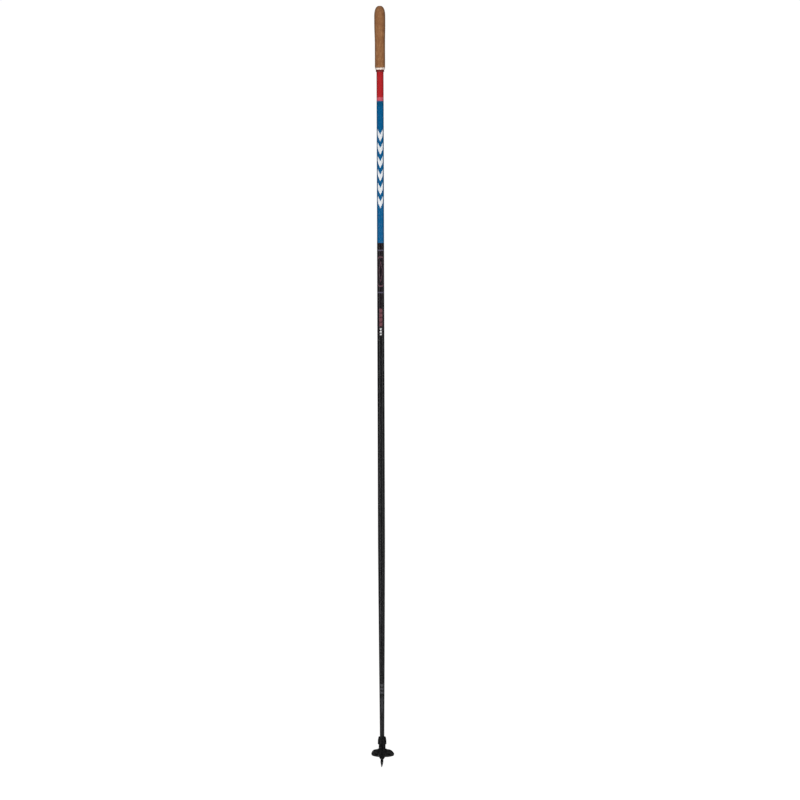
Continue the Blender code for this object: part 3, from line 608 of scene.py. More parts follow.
cork_look, tree, shader = new_look("cork", 0.8)
plain = on_object(tree)
mottle = noise(tree, plain, 90.0, 5.0, 0.6)
upright = noise(tree, on_object(tree, (1, 1, 0.12)), 520.0, 3.0, 0.55)
streaks = cells(tree, on_object(tree, (1, 1, 0.14)), 420.0)
granule = noise(tree, plain, 1300.0, 3.0, 0.6)
pores = ranged(tree, cells(tree, on_object(tree, (1, 1, 0.45)), 900.0), 0.26, 0.14)
pores = maths(tree, "MULTIPLY", pores, ranged(tree, noise(tree, plain, 260.0), 0.46, 0.56))
pits = node(tree, "Attribute", attribute_name=PIT_ATTRIBUTE).outputs["Fac"]
brown = mixed(tree, ranged(tree, mottle, 0.30, 0.72), colour("8c5b38"), colour("ab7b52"))
brown = mixed(tree, ranged(tree, upright, 0.45, 0.68, 0.0, 0.65), brown, colour("7d4c2a"))
brown = mixed(tree, ranged(tree, granule, 0.52, 0.70, 0.0, 0.5), brown, colour("c29a72"))
streak_mask = maths(tree, "MULTIPLY", ranged(tree, streaks, 0.24, 0.10), ranged(tree, mottle, 0.44, 0.56))
brown = mixed(tree, maths(tree, "MULTIPLY", streak_mask, 0.75), brown, colour("5b3318"))
brown = mixed(tree, maths(tree, "MULTIPLY", pores, 0.7), brown, colour("5a351b"))
brown = mixed(tree, maths(tree, "MULTIPLY", pits, 0.85), brown, colour("4a2a15"))
join(tree, shader.inputs["Base Color"], brown)
join(tree, shader.inputs["Roughness"], ranged(tree, mottle, 0.3, 0.7, 0.72, 0.9))
relief = maths(tree, "ADD", granule, maths(tree, "MULTIPLY", upright, 0.6))
dips = maths(tree, "ADD", streak_mask, pores)
bumped(tree, shader, maths(tree, "SUBTRACT", relief, dips), 0.00014)
print("cork")

# %% [markdown]
# ## The printed tube's finish
# The tube is carbon under paint and lacquer. Its print is a stack of bands with small marks on the side
# that faces forward. Two groups draw them: one makes a band between two depths, and the other makes a
# mark, which is a lozenge, an oval or a rounded bar as its power rises from 1. A column of marks can also
# be bent into chevrons. Widths of marks are angles round the tube, and lengths are metres along it.

# %% Groups for bands and marks
BAND, given, result = new_group("band", ["Depth", "Start", "End", "Soft"], ["Mask"])
depth, start, end, soft = [given.outputs[i] for i in range(4)]
opens = ranged(BAND, depth, maths(BAND, "SUBTRACT", start, soft), maths(BAND, "ADD", start, soft))
closes = ranged(BAND, depth, maths(BAND, "SUBTRACT", end, soft), maths(BAND, "ADD", end, soft), 1.0, 0.0)
join(BAND, result.inputs[0], maths(BAND, "MULTIPLY", opens, closes))

MARK, given, result = new_group(
    "mark", ["Across", "Along", "Width", "Length", "Power", "Line"], ["Fill", "Outline"]
)
across, along, width, length, power, line = [given.outputs[i] for i in range(6)]
side = maths(MARK, "POWER", maths(MARK, "DIVIDE", maths(MARK, "ABSOLUTE", across), width), power)
tall = maths(MARK, "POWER", maths(MARK, "DIVIDE", maths(MARK, "ABSOLUTE", along), length), power)
size = maths(MARK, "POWER", maths(MARK, "ADD", side, tall), maths(MARK, "DIVIDE", 1.0, power))
inside = maths(MARK, "SUBTRACT", 1.0, size)
join(MARK, result.inputs["Fill"], ranged(MARK, inside, -0.03, 0.03))
away = maths(MARK, "ABSOLUTE", maths(MARK, "SUBTRACT", inside, line))
faint, full = maths(MARK, "MULTIPLY", line, 1.3), maths(MARK, "MULTIPLY", line, 0.7)
join(MARK, result.inputs["Outline"], ranged(MARK, away, faint, full))
print("groups:", BAND.name, MARK.name)

# %% [markdown]
# The carbon's fibres run along the tube, and show as long faint streaks. The bands go from the grip
# down: red, a narrow pink edge, a long blue field, and then black carbon with a faint red cast between
# two thin rings. The blue is broken by a column of broad white chevrons.

# %% Bands, from the grip down
RED_END = 0.2062
PINK_END = 0.2144
BLUE_END = 0.5345
RINGS = (0.5510, 0.6460)
RING_HALF = 0.0011
TINT_END = 0.7440

tube_look, tree, shader = new_look(
    "printed_carbon", 0.3, Coat_Weight=0.35, Coat_Roughness=0.10, Specular_IOR_Level=0.35
)
front = on_object(tree, turn=-CAMERA_TURN)
parts = node(tree, "SeparateXYZ")
join(tree, parts.inputs[0], front)
depth = maths(tree, "SUBTRACT", TOP, parts.outputs["Z"])
forward = maths(tree, "MULTIPLY", parts.outputs["Y"], -1.0)
angle = maths(tree, "ARCTAN2", parts.outputs["X"], forward)
either_side = maths(tree, "ARCTAN2", parts.outputs["X"], maths(tree, "ABSOLUTE", forward))

fibres = noise(tree, on_object(tree, (1, 1, 0.012)), 1500.0, 3.0, 0.6)
lay = noise(tree, on_object(tree, (1, 1, 0.05)), 500.0, 2.0)
ink = mixed(tree, ranged(tree, fibres, 0.38, 0.64), colour("0b0b0c"), colour("1f1f21"))
ink = mixed(tree, ranged(tree, lay, 0.50, 0.62, 0.0, 0.5), ink, colour("2c2c2f"))


def band(start, end, soft=0.0004):
    return use_group(tree, BAND, Depth=depth, Start=start, End=end, Soft=soft).outputs["Mask"]


def paint(mask, code, strength=1.0):
    """Lays a colour over what is there already."""
    global ink
    ink = mixed(tree, maths(tree, "MULTIPLY", mask, strength), ink, colour(code))


paint(band(BLUE_END - 0.01, TINT_END, 0.01), "1e1019", 0.5)
paint(band(-1.0, BLUE_END), "006096")
paint(band(PINK_END - 0.004, PINK_END + 0.012, 0.004), "00567e", 0.8)
paint(band(-1.0, PINK_END, 0.0012), "d8606f")
paint(band(-1.0, RED_END, 0.0006), "c0262c")
streak = ranged(tree, fibres, 0.35, 0.7)
paint(maths(tree, "MULTIPLY", streak, band(-1.0, BLUE_END)), "0a0a12", 0.10)
for ring in RINGS:
    paint(band(ring - RING_HALF, ring + RING_HALF), "6f6a80", 0.7)
print("bands down to", BLUE_END)

# %% Marks on the bands
WHITE = "eef2f5"
CHEVRONS = (0.2830, 0.4635)  # where the column starts and ends
CHEVRON_COUNT = 6
CHEVRON_WIDTH = 0.84  # half of it, as an angle
CHEVRON_RISE = 0.014  # how much lower its middle is than its ends
FRAME_MARK = (0.5650, 0.6330)
BARS = (0.6820, 0.7230)
BAR_COUNT = 4
DOTS = (0.7255, 0.7435)
DOT_COUNT = 3
TICKS = (1.5270, 1.5520)
TICK_COUNT = 3
PALE_STREAK = (1.5570, 1.5920)


def mark(turn, along, width, length, power, line=0.0):
    drawn = use_group(
        tree, MARK, Across=turn, Along=along, Width=width, Length=length, Power=power, Line=line
    )
    return drawn.outputs["Outline" if line else "Fill"]


def column(span, number, turn, width, share, power, code, strength=1.0, rise=0.0):
    """A column of equal marks, each filling a share of its step, and bent to a chevron by its rise."""
    step = (span[1] - span[0]) / number
    raised = maths(tree, "MULTIPLY", maths(tree, "ABSOLUTE", turn), rise / width)
    place = maths(tree, "ADD", depth, raised)
    from_start = maths(tree, "SUBTRACT", place, span[0] + step / 2)
    along = maths(tree, "WRAP", from_start, step / 2, -step / 2)
    drawn = mark(turn, along, width, step * share / 2, power)
    ends = use_group(tree, BAND, Depth=place, Start=span[0], End=span[1], Soft=0.0001).outputs["Mask"]
    paint(maths(tree, "MULTIPLY", drawn, ends), code, strength)


column(CHEVRONS, CHEVRON_COUNT, either_side, CHEVRON_WIDTH, 0.50, 7.0, WHITE, rise=CHEVRON_RISE)
centre_of = (FRAME_MARK[0] + FRAME_MARK[1]) / 2
half_of = (FRAME_MARK[1] - FRAME_MARK[0]) / 2
from_frame = maths(tree, "SUBTRACT", depth, centre_of)
paint(mark(angle, from_frame, 0.95, half_of, 5.0, 0.035), "7a5560", 0.75)
paint(mark(angle, from_frame, 0.62, half_of * 0.72, 1.0, 0.07), "7a5560", 0.75)
column(BARS, BAR_COUNT, angle, 0.46, 0.86, 6.0, "74454c", 0.9)
column(DOTS, DOT_COUNT, angle, 0.30, 0.66, 2.4, "dcdcdc")
column(TICKS, TICK_COUNT, angle, 0.80, 0.62, 6.0, "4c4c50", 0.8)
# Low on the black carbon, a paler grey upright streak is drawn on the front, centred and with rounded ends.
from_pale_streak = maths(tree, "SUBTRACT", depth, (PALE_STREAK[0] + PALE_STREAK[1]) / 2)
paint(mark(angle, from_pale_streak, 0.30, (PALE_STREAK[1] - PALE_STREAK[0]) / 2, 4.0), "3a3a3e", 0.8)
print("marks:", CHEVRON_COUNT, "chevrons,", BAR_COUNT, "bars,", DOT_COUNT, "dots,", TICK_COUNT, "ticks")

# %% [markdown]
# Under the lacquer the fibres also lift the surface by a hair, and the last stretch above the basket is
# scuffed grey by skis and crust, more so the lower it is.

# %% Lacquer and wear on the tube
LENGTH = TOP - POINT
scratched = use_group(tree, SCUFFS, Scale=1100.0, Amount=0.8).outputs["Mask"]
low_down = ranged(tree, depth, LENGTH - 0.40, LENGTH - 0.05, 0.12, 0.7)
scratched = maths(tree, "MULTIPLY", scratched, low_down)
paint(scratched, "58585c", 0.4)
join(tree, shader.inputs["Base Color"], ink)
gloss = ranged(tree, noise(tree, on_object(tree), 60.0, 4.0, 0.6), 0.3, 0.7, 0.26, 0.38)
gloss = maths(tree, "ADD", gloss, maths(tree, "MULTIPLY", scratched, 0.3), clamp=True)
join(tree, shader.inputs["Roughness"], gloss)
bumped(tree, shader, maths(tree, "SUBTRACT", fibres, scratched), 0.00002)
print("tube finish:", len(tree.nodes), "nodes")

# %% [markdown]
# ## The cork grip
# The grip is a long swelling form with a domed top, a little squarer than an ellipse and leaning forward
# at its head. It starts as a small circle at the crown. The rim is extruded downwards again and again,
# and each new rim is scaled to its width and depth. Subdivision then rounds the coarse cage. A cage
# shrinks as it is rounded, by a known share, so it is drawn that much too large.

# %% The grip's cage
CORK_COLUMNS = 28
CAGE_SHRINK = (2 + math.cos(2 * math.pi / CORK_COLUMNS)) / 3
CORK_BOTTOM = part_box("cork_grip")[0].z
NECK_WIDTH = 0.0230
HEAD_SWELL = 0.0018
HEAD_EXTRA = 0.0040  # how much deeper than wide the head is, front to back
NECK_EXTRA = 0.0010
HEAD_LEAN = 0.0028
SWELL = (0.038, 0.090)  # below the top, where the head narrows to the neck
DOME_HEIGHT = 0.024
DOME_POWER = 2.4
SQUARENESS = 2.25


def rim(down, scale=1.0):
    """Half width, half depth, forward shift and height of the grip, this far below its top."""
    share = min(max((down - SWELL[0]) / (SWELL[1] - SWELL[0]), 0), 1)
    narrow = share * share * (3 - 2 * share)
    width = NECK_WIDTH + HEAD_SWELL * (1 - narrow)
    deep = width + HEAD_EXTRA + (NECK_EXTRA - HEAD_EXTRA) * narrow
    grow = scale / 2 / CAGE_SHRINK
    return width * grow, deep * grow, -HEAD_LEAN * (1 - narrow), below(down)


def grip_rims():
    """The rims of the domed crown, and then of the hold."""
    rims = []
    crown_steps = 9
    flat_top = 1 - math.cos(math.pi / 2 / crown_steps) ** (2 / DOME_POWER)
    for step in range(1, crown_steps + 1):
        turn = math.pi / 2 * step / crown_steps
        fall = 1 - math.cos(turn) ** (2 / DOME_POWER) if step < crown_steps else 1
        fall = (fall - flat_top) / (1 - flat_top)
        rims.append(rim(DOME_HEIGHT * fall, math.sin(turn) ** (2 / DOME_POWER)))
    hold_steps = 21
    hold = TOP - CORK_BOTTOM - DOME_HEIGHT
    for step in range(1, hold_steps + 1):
        rims.append(rim(DOME_HEIGHT + hold * step / hold_steps))
    return rims


def grip_form(name, levels):
    """The grip's outer skin, open at its lower end."""
    rims = grip_rims()
    deselect_all()
    wide, deep, shift, height = rims[0]
    bpy.ops.mesh.primitive_circle_add(vertices=CORK_COLUMNS, radius=1, fill_type="NGON")
    piece = named(name)
    for vertex in piece.data.vertices:
        x, y, _ = vertex.co
        vertex.co.x = math.copysign(abs(x) ** (2 / SQUARENESS), x) * wide
        vertex.co.y = math.copysign(abs(y) ** (2 / SQUARENESS), y) * deep + shift
        vertex.co.z = height
    bpy.ops.object.mode_set(mode="EDIT")
    bpy.ops.mesh.select_mode(type="EDGE")
    bpy.ops.mesh.select_all(action="DESELECT")
    bpy.ops.mesh.select_non_manifold()
    for next_wide, next_deep, next_shift, next_height in rims[1:]:
        drop = (0, next_shift - shift, next_height - height)
        bpy.ops.mesh.extrude_edges_move(TRANSFORM_OT_translate={"value": drop})
        spread = (next_wide / wide, next_deep / deep, 1)
        bpy.ops.transform.resize(value=spread, center_override=(0, next_shift, next_height))
        wide, deep, shift, height = next_wide, next_deep, next_shift, next_height
    bpy.ops.mesh.select_mode(type="VERT")
    bpy.ops.mesh.select_all(action="SELECT")
    bpy.ops.mesh.normals_make_consistent(inside=False)
    leave_edit()
    apply(piece, "SUBSURF", levels=levels, render_levels=levels)
    return piece


cork = grip_form("cork_hold", 3)
print("cork skin:", count(cork), "triangles")

# %% [markdown]
# Cork is never quite smooth: it is gently uneven from sanding, and its lenticels leave open pits. Two
# Displace modifiers do that. A cloud pattern moves the skin by under a tenth of a millimetre, and a cell
# pattern that is stretched upright sinks small pits. How far each point sank is then stored as the pit
# attribute that the finish reads.

# %% Unevenness and pits in the cork
UNEVEN = 0.00012
PIT_DEPTH = 0.00055


def pattern_texture(name, kind, size, **settings):
    made = bpy.data.textures.new(name, kind)
    made.noise_scale = size
    for key, value in settings.items():
        setattr(made, key, value)
    return made


def points_of(piece):
    """Where every point of the mesh is."""
    spots = numpy.empty(len(piece.data.vertices) * 3)
    piece.data.vertices.foreach_get("co", spots)
    return spots.reshape(-1, 3)


clouds = pattern_texture("sanding", "CLOUDS", 0.006, noise_depth=2)
apply(cork, "DISPLACE", texture=clouds, texture_coords="LOCAL", strength=UNEVEN, mid_level=0.5)
stretcher = bpy.data.objects.new("stretcher", None)
bpy.context.scene.collection.objects.link(stretcher)
stretcher.scale = (1, 1, 2.2)
bpy.context.view_layer.update()
spots = pattern_texture("lenticels", "VORONOI", 0.0052, use_color_ramp=True, distance_metric="MANHATTAN")
spots.color_ramp.elements[0].position = 0.06
spots.color_ramp.elements[1].position = 0.24
before = points_of(cork)
apply(
    cork,
    "DISPLACE",
    texture=spots,
    texture_coords="OBJECT",
    texture_coords_object=stretcher,
    strength=PIT_DEPTH,
    mid_level=1.0,
)
sunk = numpy.linalg.norm(points_of(cork) - before, axis=1) / PIT_DEPTH
stored = cork.data.attributes.new(PIT_ATTRIBUTE, "FLOAT", "POINT")
stored.data.foreach_set("value", sunk)
bpy.data.objects.remove(stretcher)
print(f"pits: {int((sunk > 0.3).sum())} of {len(sunk)} points sunk")

# %% [markdown]
# The lower end is closed, and the cork is bored for the tube's core and pocketed at the back for the
# strap's housing. Both cuts are plain tools: a cylinder and a box, a hair larger than what they hold.

# %% Closing, boring and pocketing the cork
CORE_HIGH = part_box("grip_core")[1]
HOUSING_LOW, HOUSING_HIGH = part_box("strap_housing")
GAP = 0.0003

fill_rim(cork)
combine(cork, cylinder("cork_bore", CORE_HIGH.x + GAP, CORK_BOTTOM - 0.01, CORE_HIGH.z + GAP))
pocket_low = (HOUSING_LOW.x - GAP, HOUSING_LOW.y - GAP, HOUSING_LOW.z - GAP)
pocket_high = (HOUSING_HIGH.x + GAP, HOUSING_HIGH.y + 0.01, HOUSING_HIGH.z + GAP)
combine(cork, block("housing_pocket", pocket_low, pocket_high))
put(cork, cork_look, "pole", "cork_grip")

# %% [markdown]
# The strap's housing is a moulded box let into the back of the head, with its rear face following the
# cork's curve. It is the overlap of a box and the grip's own form, with the strap's slot cut out of it
# and every edge broken by a small round.

# %% The strap's housing
HOUSING_WALL = 0.0015

housing = block("strap_box", HOUSING_LOW, (HOUSING_HIGH.x, HOUSING_HIGH.y + 0.005, HOUSING_HIGH.z))
shape_of_head = grip_form("head_form", 2)
fill_rim(shape_of_head)
combine(housing, shape_of_head, "INTERSECT")
slot_low = (HOUSING_LOW.x + HOUSING_WALL, HOUSING_LOW.y + HOUSING_WALL, HOUSING_LOW.z + HOUSING_WALL)
slot_high = (HOUSING_HIGH.x - HOUSING_WALL, HOUSING_HIGH.y + 0.01, HOUSING_HIGH.z - HOUSING_WALL)
combine(housing, block("slot", slot_low, slot_high))
round_edges(housing, 0.00025, degrees=50)
put(housing, housing_look, "pole", "strap_housing")

# %% [markdown]
# The wedge's shape is already right in the frame, teeth and all, but its edges are knife sharp. A copy of
# it is merged into one skin, its flat faces are joined up again, grooves for a fingernail are cut across
# its tab, and the edges are then rounded.

# %% The strap's wedge
TAB_GROOVES = 3
GROOVE_RADIUS = 0.00035


def merged_copy(cad_node, name):
    """A copy of a node of the frame as one clean skin."""
    piece = bpy.data.objects.new(name, frame["nodes"][cad_node].data.copy())
    bpy.context.scene.collection.objects.link(piece)
    edit(piece)
    close_up()
    bpy.ops.mesh.select_all(action="SELECT")
    bpy.ops.mesh.dissolve_limited(angle_limit=math.radians(2))
    leave_edit()
    return piece


wedge = merged_copy("strap_wedge", "wedge")
wedge_low, wedge_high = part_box("strap_wedge")
for number in range(TAB_GROOVES):
    rise = (wedge_high.z - wedge_low.z) * (0.20 + 0.20 * number)
    deselect_all()
    bpy.ops.mesh.primitive_cylinder_add(
        vertices=16,
        radius=GROOVE_RADIUS,
        depth=wedge_high.x - wedge_low.x - 0.003,
        location=(0, wedge_high.y, wedge_low.z + rise),
        rotation=(0, math.pi / 2, 0),
    )
    combine(wedge, named("groove"))
round_edges(wedge, 0.00015, degrees=25)
put(wedge, wedge_look, "wedge", "strap_wedge")

# %% [markdown]
# The core is a hidden sleeve under the cork, so the frame's own mesh stays and only gets its finish.

# %% The grip's core
frame["nodes"]["grip_core"].data.materials.clear()
frame["nodes"]["grip_core"].data.materials.append(core_look)
print("grip_core keeps its mesh")

# %% [markdown]
# Below the cork sit a white ring and a small red collar. Both are turned bands with rounded outer
# corners: a plain outline is spun, and a bevel rounds it.

# %% White ring and red collar


def turned_band(name, cad_node, inner, corner, look, hollow=0.0):
    """A ring as tall and wide as its node, with a faint waist if it is hollowed."""
    low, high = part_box(cad_node)
    outer = high.x
    waist = (low.z + high.z) / 2
    outline = [
        (inner, high.z),
        (outer, high.z),
        (outer - hollow, waist),
        (outer, low.z),
        (inner, low.z),
        (inner, high.z),
    ]
    ring = turned(name, outline)
    round_edges(ring, corner, segments=4)
    return put(ring, look, "pole", cad_node)


TUBE_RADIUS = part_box("shaft")[1].x
turned_band("white_ring", "grip_end_ring", CORE_HIGH.x + GAP, 0.0007, white_look, 0.00008)
turned_band("red_ring", "grip_collar", TUBE_RADIUS + GAP, 0.0004, collar_look)

# %% [markdown]
# ## The tube
# The tube is straight for two thirds of its length and then tapers, gently at first. A circle is
# extruded down to the start of the taper and then in steps, and each rim is scaled to the radius that
# the taper's rule gives. Solidify adds the wall on the inside, and a tiny bevel breaks the two ends.

# %% The tapered tube
TUBE_LOW, TUBE_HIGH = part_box("shaft")[0].z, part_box("shaft")[1].z
TUBE_END_RADIUS = 0.0051
TUBE_WALL = 0.0009
TAPER_BOTTOM = TUBE_LOW + 0.016
TAPER_LENGTH = 0.424
TAPER_POWER = 1.2
TAPER_STEPS = 24


def tube_radius(height):
    share = min(max((TAPER_BOTTOM + TAPER_LENGTH - height) / TAPER_LENGTH, 0), 1)
    return TUBE_RADIUS - (TUBE_RADIUS - TUBE_END_RADIUS) * share**TAPER_POWER


deselect_all()
bpy.ops.mesh.primitive_circle_add(vertices=96, radius=TUBE_RADIUS, location=(0, 0, TUBE_HIGH))
tube = named("tapered_tube")
stations = [TAPER_BOTTOM + TAPER_LENGTH * (1 - step / TAPER_STEPS) for step in range(TAPER_STEPS + 1)]
height = TUBE_HIGH
bpy.ops.object.mode_set(mode="EDIT")
bpy.ops.mesh.select_all(action="SELECT")
for station in [*stations, TUBE_LOW]:
    bpy.ops.mesh.extrude_edges_move(TRANSFORM_OT_translate={"value": (0, 0, station - height)})
    shrink = tube_radius(station) / tube_radius(height)
    bpy.ops.transform.resize(value=(shrink, shrink, 1), center_override=(0, 0, station))
    height = station
bpy.ops.mesh.select_all(action="SELECT")
bpy.ops.mesh.normals_make_consistent(inside=False)
leave_edit()
apply(tube, "SOLIDIFY", thickness=TUBE_WALL, offset=-1)
round_edges(tube, 0.00015, degrees=60)
put(tube, tube_look, "pole", "shaft")

# %% [markdown]
# Inside the tube's lower end a metal ferrule is glued. Its stem ends in a six-sided key, which stops the
# basket from turning on the tube. It shows only when the basket is off. It is a turned stem joined to a
# six-sided prism.

# %% The ferrule
FERRULE_TOP = TUBE_LOW - GAP
FLANGE = 0.0015
STEM_RADIUS = 0.0045
SPIGOT_RADIUS = TUBE_END_RADIUS - TUBE_WALL - GAP
KEY_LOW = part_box("tip_ferrule")[0].z
KEY_TOP = KEY_LOW + 0.016
KEY_RADIUS = STEM_RADIUS - 0.0001

outline = [
    (0, FERRULE_TOP + 0.024),
    (SPIGOT_RADIUS - 0.0008, FERRULE_TOP + 0.024),
    (SPIGOT_RADIUS, FERRULE_TOP + 0.0232),
    (SPIGOT_RADIUS, FERRULE_TOP),
    (TUBE_END_RADIUS, FERRULE_TOP),
    (TUBE_END_RADIUS, FERRULE_TOP - FLANGE),
    (STEM_RADIUS, FERRULE_TOP - FLANGE),
    (STEM_RADIUS, KEY_TOP),
    (0, KEY_TOP),
]
ferrule = turned("ferrule", outline, 72)
key = cylinder("key", KEY_RADIUS, KEY_LOW, KEY_TOP + STEM_RADIUS, sides=6)
combine(ferrule, key, "UNION")
round_edges(ferrule, 0.00015)
put(ferrule, ferrule_look, "pole", "tip_ferrule")

# %% [markdown]
# ## The basket's hub
# The hub is the black neck that the basket disc is moulded round. Its upper end is threaded for the
# nut, its foot narrows to the steel sleeve, and everything below the bend leans forward. The outline is
# spun, and then each low rim is moved forward by its share of the lean.

# %% Leaning the low rims
BEND = above(0.027)
LEAN = 0.38


def lean(piece):
    """Moves every rim below the bend forward, each in one step, in edit mode."""
    edit(piece)
    form = bmesh.from_edit_mesh(piece.data)
    rims = sorted({round(vertex.co.z, 6) for vertex in form.verts if vertex.co.z < BEND})
    for rim_height in rims:
        pick(piece, lambda spot: abs(spot.z - rim_height) < 0.000002)
        bpy.ops.transform.translate(value=(0, -LEAN * (BEND - rim_height), 0))
    leave_edit()
    return piece


# %% [markdown]
# A thread is a small ridge wound into a helix. Its cross-section is drawn like any outline, and the Screw
# modifier winds it up as it turns. The two open ends are filled, and the ridge is then joined to a shape,
# or cut out of it to make the matching thread.

# %% Winding a thread
LEAD = 0.003
RIDGE_ROOT, RIDGE_CREST = 0.0014, 0.0006  # widths of the ridge


def thread(name, inner, root, crest, root_width, crest_width, bottom, turns):
    corners = [
        (inner, bottom - root_width / 2),
        (root, bottom - root_width / 2),
        (crest, bottom - crest_width / 2),
        (crest, bottom + crest_width / 2),
        (root, bottom + root_width / 2),
        (inner, bottom + root_width / 2),
        (inner, bottom - root_width / 2),
    ]
    ridge = draw_line(name, corners)
    close_up()
    leave_edit()
    steps = round(64 * turns)
    apply(
        ridge,
        "SCREW",
        angle=2 * math.pi * turns,
        screw_offset=LEAD * turns,
        steps=steps,
        render_steps=steps,
        use_smooth_shade=False,
    )
    edit(ridge)
    bpy.ops.mesh.select_all(action="SELECT")
    bpy.ops.mesh.fill_holes(sides=0)
    close_up()
    leave_edit()
    return ridge


# %% The hub's body
SLEEVE_TOP = above(0.0169)
HUB_BOTTOM = SLEEVE_TOP + GAP
HUB_RADIUS = 0.0077
FLANGE_RADIUS = HUB_RADIUS + 0.0012
NECK_BASE = above(0.0404)
NECK_TOP = NECK_BASE + 0.0102
HUB_TOP = NECK_TOP + 0.0100
FLANGE_TOP = NECK_BASE - 0.0042
FLANGE_LOW = FLANGE_TOP - 0.0012
SOCKET_LOW = KEY_LOW - GAP
BORE_RADIUS = STEM_RADIUS + GAP
COLLET_FOOT = BORE_RADIUS + 0.0005
MOUTH_FLOOR = HUB_TOP - 0.0070
MOUTH_RADIUS = COLLET_FOOT + GAP
MOUTH_FLARE = 0.0005
ROOT_RADIUS = MOUTH_RADIUS + MOUTH_FLARE + 0.00065
CREST_RADIUS = ROOT_RADIUS + 0.0007
THREAD_TURNS = 1.6
RIDGE_LOW = HUB_TOP - 0.0007 - LEAD * THREAD_TURNS - GAP

outline = [
    (0, HUB_TOP),
    (ROOT_RADIUS, HUB_TOP),
    (ROOT_RADIUS, NECK_TOP),
    (HUB_RADIUS, NECK_TOP),
    (HUB_RADIUS, FLANGE_TOP),
    (FLANGE_RADIUS, FLANGE_TOP),
    (FLANGE_RADIUS, FLANGE_LOW),
    (HUB_RADIUS, FLANGE_LOW),
    (HUB_RADIUS, HUB_BOTTOM + 0.0100),
    (0.0063, HUB_BOTTOM + 0.0038),
    (0.00355, HUB_BOTTOM),
    (0, HUB_BOTTOM),
]
hub = lean(turned("hub_neck", outline, 96))
round_edges(hub, 0.0003, segments=3, degrees=20)
ridge = thread(
    "hub_ridge",
    ROOT_RADIUS - 0.0003,
    ROOT_RADIUS,
    CREST_RADIUS,
    RIDGE_ROOT,
    RIDGE_CREST,
    RIDGE_LOW,
    THREAD_TURNS,
)
combine(hub, ridge, "UNION")
print("hub body:", count(hub), "triangles")

# %% Boring the hub
SHANK_RADIUS = 0.0025
SHANK_TOP = SLEEVE_TOP + 0.0095

shank_bore = lean(cylinder("shank_bore", SHANK_RADIUS + GAP, HUB_BOTTOM - 0.004, SHANK_TOP + GAP, 48))
combine(hub, shank_bore)
combine(hub, cylinder("socket", KEY_RADIUS + GAP, SOCKET_LOW, KEY_TOP + GAP, sides=6))
combine(hub, cylinder("stem_bore", BORE_RADIUS, KEY_TOP - GAP, HUB_TOP + 0.001, 72))
mouth = [
    (0, HUB_TOP + 0.001),
    (MOUTH_RADIUS + MOUTH_FLARE, HUB_TOP + 0.001),
    (MOUTH_RADIUS + MOUTH_FLARE, HUB_TOP),
    (MOUTH_RADIUS, MOUTH_FLOOR),
    (0, MOUTH_FLOOR),
]
combine(hub, turned("mouth", mouth, 72))
put(hub, hub_look, "basket", "basket_hub")

# %% [markdown]
# ## The basket's disc
# The disc is a soft wing, wider than it is deep and sloping down towards the back. It is a flat curve
# with a rounded edge, made a mesh while it lies flat. Its underside gets two oval pockets with raised
# lips and two ribs. The flat shape is drawn longer by the slope's own share, so that it has the right
# length when it is tilted.

# %% The disc, lying flat
DISC_HALF = 0.0258
DISC_FRONT = 0.0052
DISC_REAR = 0.0264
SLOPE = math.atan(0.545)
DISC_THICKNESS = 0.0028 * math.cos(SLOPE)
EDGE_ROUND = 0.0006
# Half of the outline from the middle of the front edge, as shares of half the width and of the depth.
DISC_OUTLINE = (
    (0, 0),
    (0.42, 0),
    (0.70, 0.07),
    (0.85, 0.21),
    (0.94, 0.38),
    (1, 0.62),
    (0.93, 0.79),
    (0.63, 0.93),
    (0.25, 0.99),
    (0, 1),
)

flat_length = (DISC_FRONT + DISC_REAR) / math.cos(SLOPE)
drawn = bpy.data.curves.new("disc_outline", "CURVE")
drawn.dimensions = "2D"
drawn.fill_mode = "BOTH"
drawn.resolution_u = 16
drawn.bevel_depth = EDGE_ROUND
drawn.bevel_resolution = 3
drawn.offset = -EDGE_ROUND
drawn.extrude = DISC_THICKNESS / 2 - EDGE_ROUND
spline = drawn.splines.new("BEZIER")
corners = list(DISC_OUTLINE) + [(-x, y) for x, y in reversed(DISC_OUTLINE[1:-1])]
spline.bezier_points.add(len(corners) - 1)
for knot, (x, y) in zip(spline.bezier_points, corners):
    knot.co = (x * DISC_HALF, y * flat_length, 0)
    knot.handle_left_type = knot.handle_right_type = "AUTO"
spline.use_cyclic_u = True
disc = bpy.data.objects.new("basket_wing", drawn)
bpy.context.scene.collection.objects.link(disc)
only(disc)
bpy.ops.object.convert(target="MESH")
edit(disc)
close_up()
leave_edit()
print("flat disc:", count(disc), "triangles")

# %% [markdown]
# A soft moulding has no sharp corner anywhere. So the lips, ribs and boss are simply joined on, and the
# whole is then remeshed into a fine even skin and smoothed a little, which puts a small fillet into
# every corner at once. The bore and its groove, which must stay crisp, are cut last.

# %% Pockets, ribs and boss
POCKET_OUT = 0.0137
POCKET_BACK = (0.0094 + DISC_FRONT) / math.cos(SLOPE)
POCKET_SIZE = (0.0046, 0.0066 / math.cos(SLOPE))
LIP_WIDTH = 0.0009
LIP_HEIGHT = 0.0006
POCKET_SINK = 0.0011
RIB_ANGLES = (-26, 26)
RIB_REACH = 0.0205
BOSS_RADIUS = 0.0104
BOSS_TOP = NECK_BASE + 0.0012
BOSS_LOW = BOSS_TOP - 0.0122
UNDER = -DISC_THICKNESS / 2
HINGE = NECK_BASE - 0.0009  # height of the tilted disc's front edge


def oval(name, side, widen, low, high):
    """An upright oval tool on the flat disc."""
    deselect_all()
    size = (POCKET_SIZE[0] + widen, POCKET_SIZE[1] + widen, high - low)
    place = (side * POCKET_OUT, POCKET_BACK, (low + high) / 2)
    bpy.ops.mesh.primitive_cylinder_add(vertices=64, radius=1, depth=1, location=place, scale=size)
    return named(name)


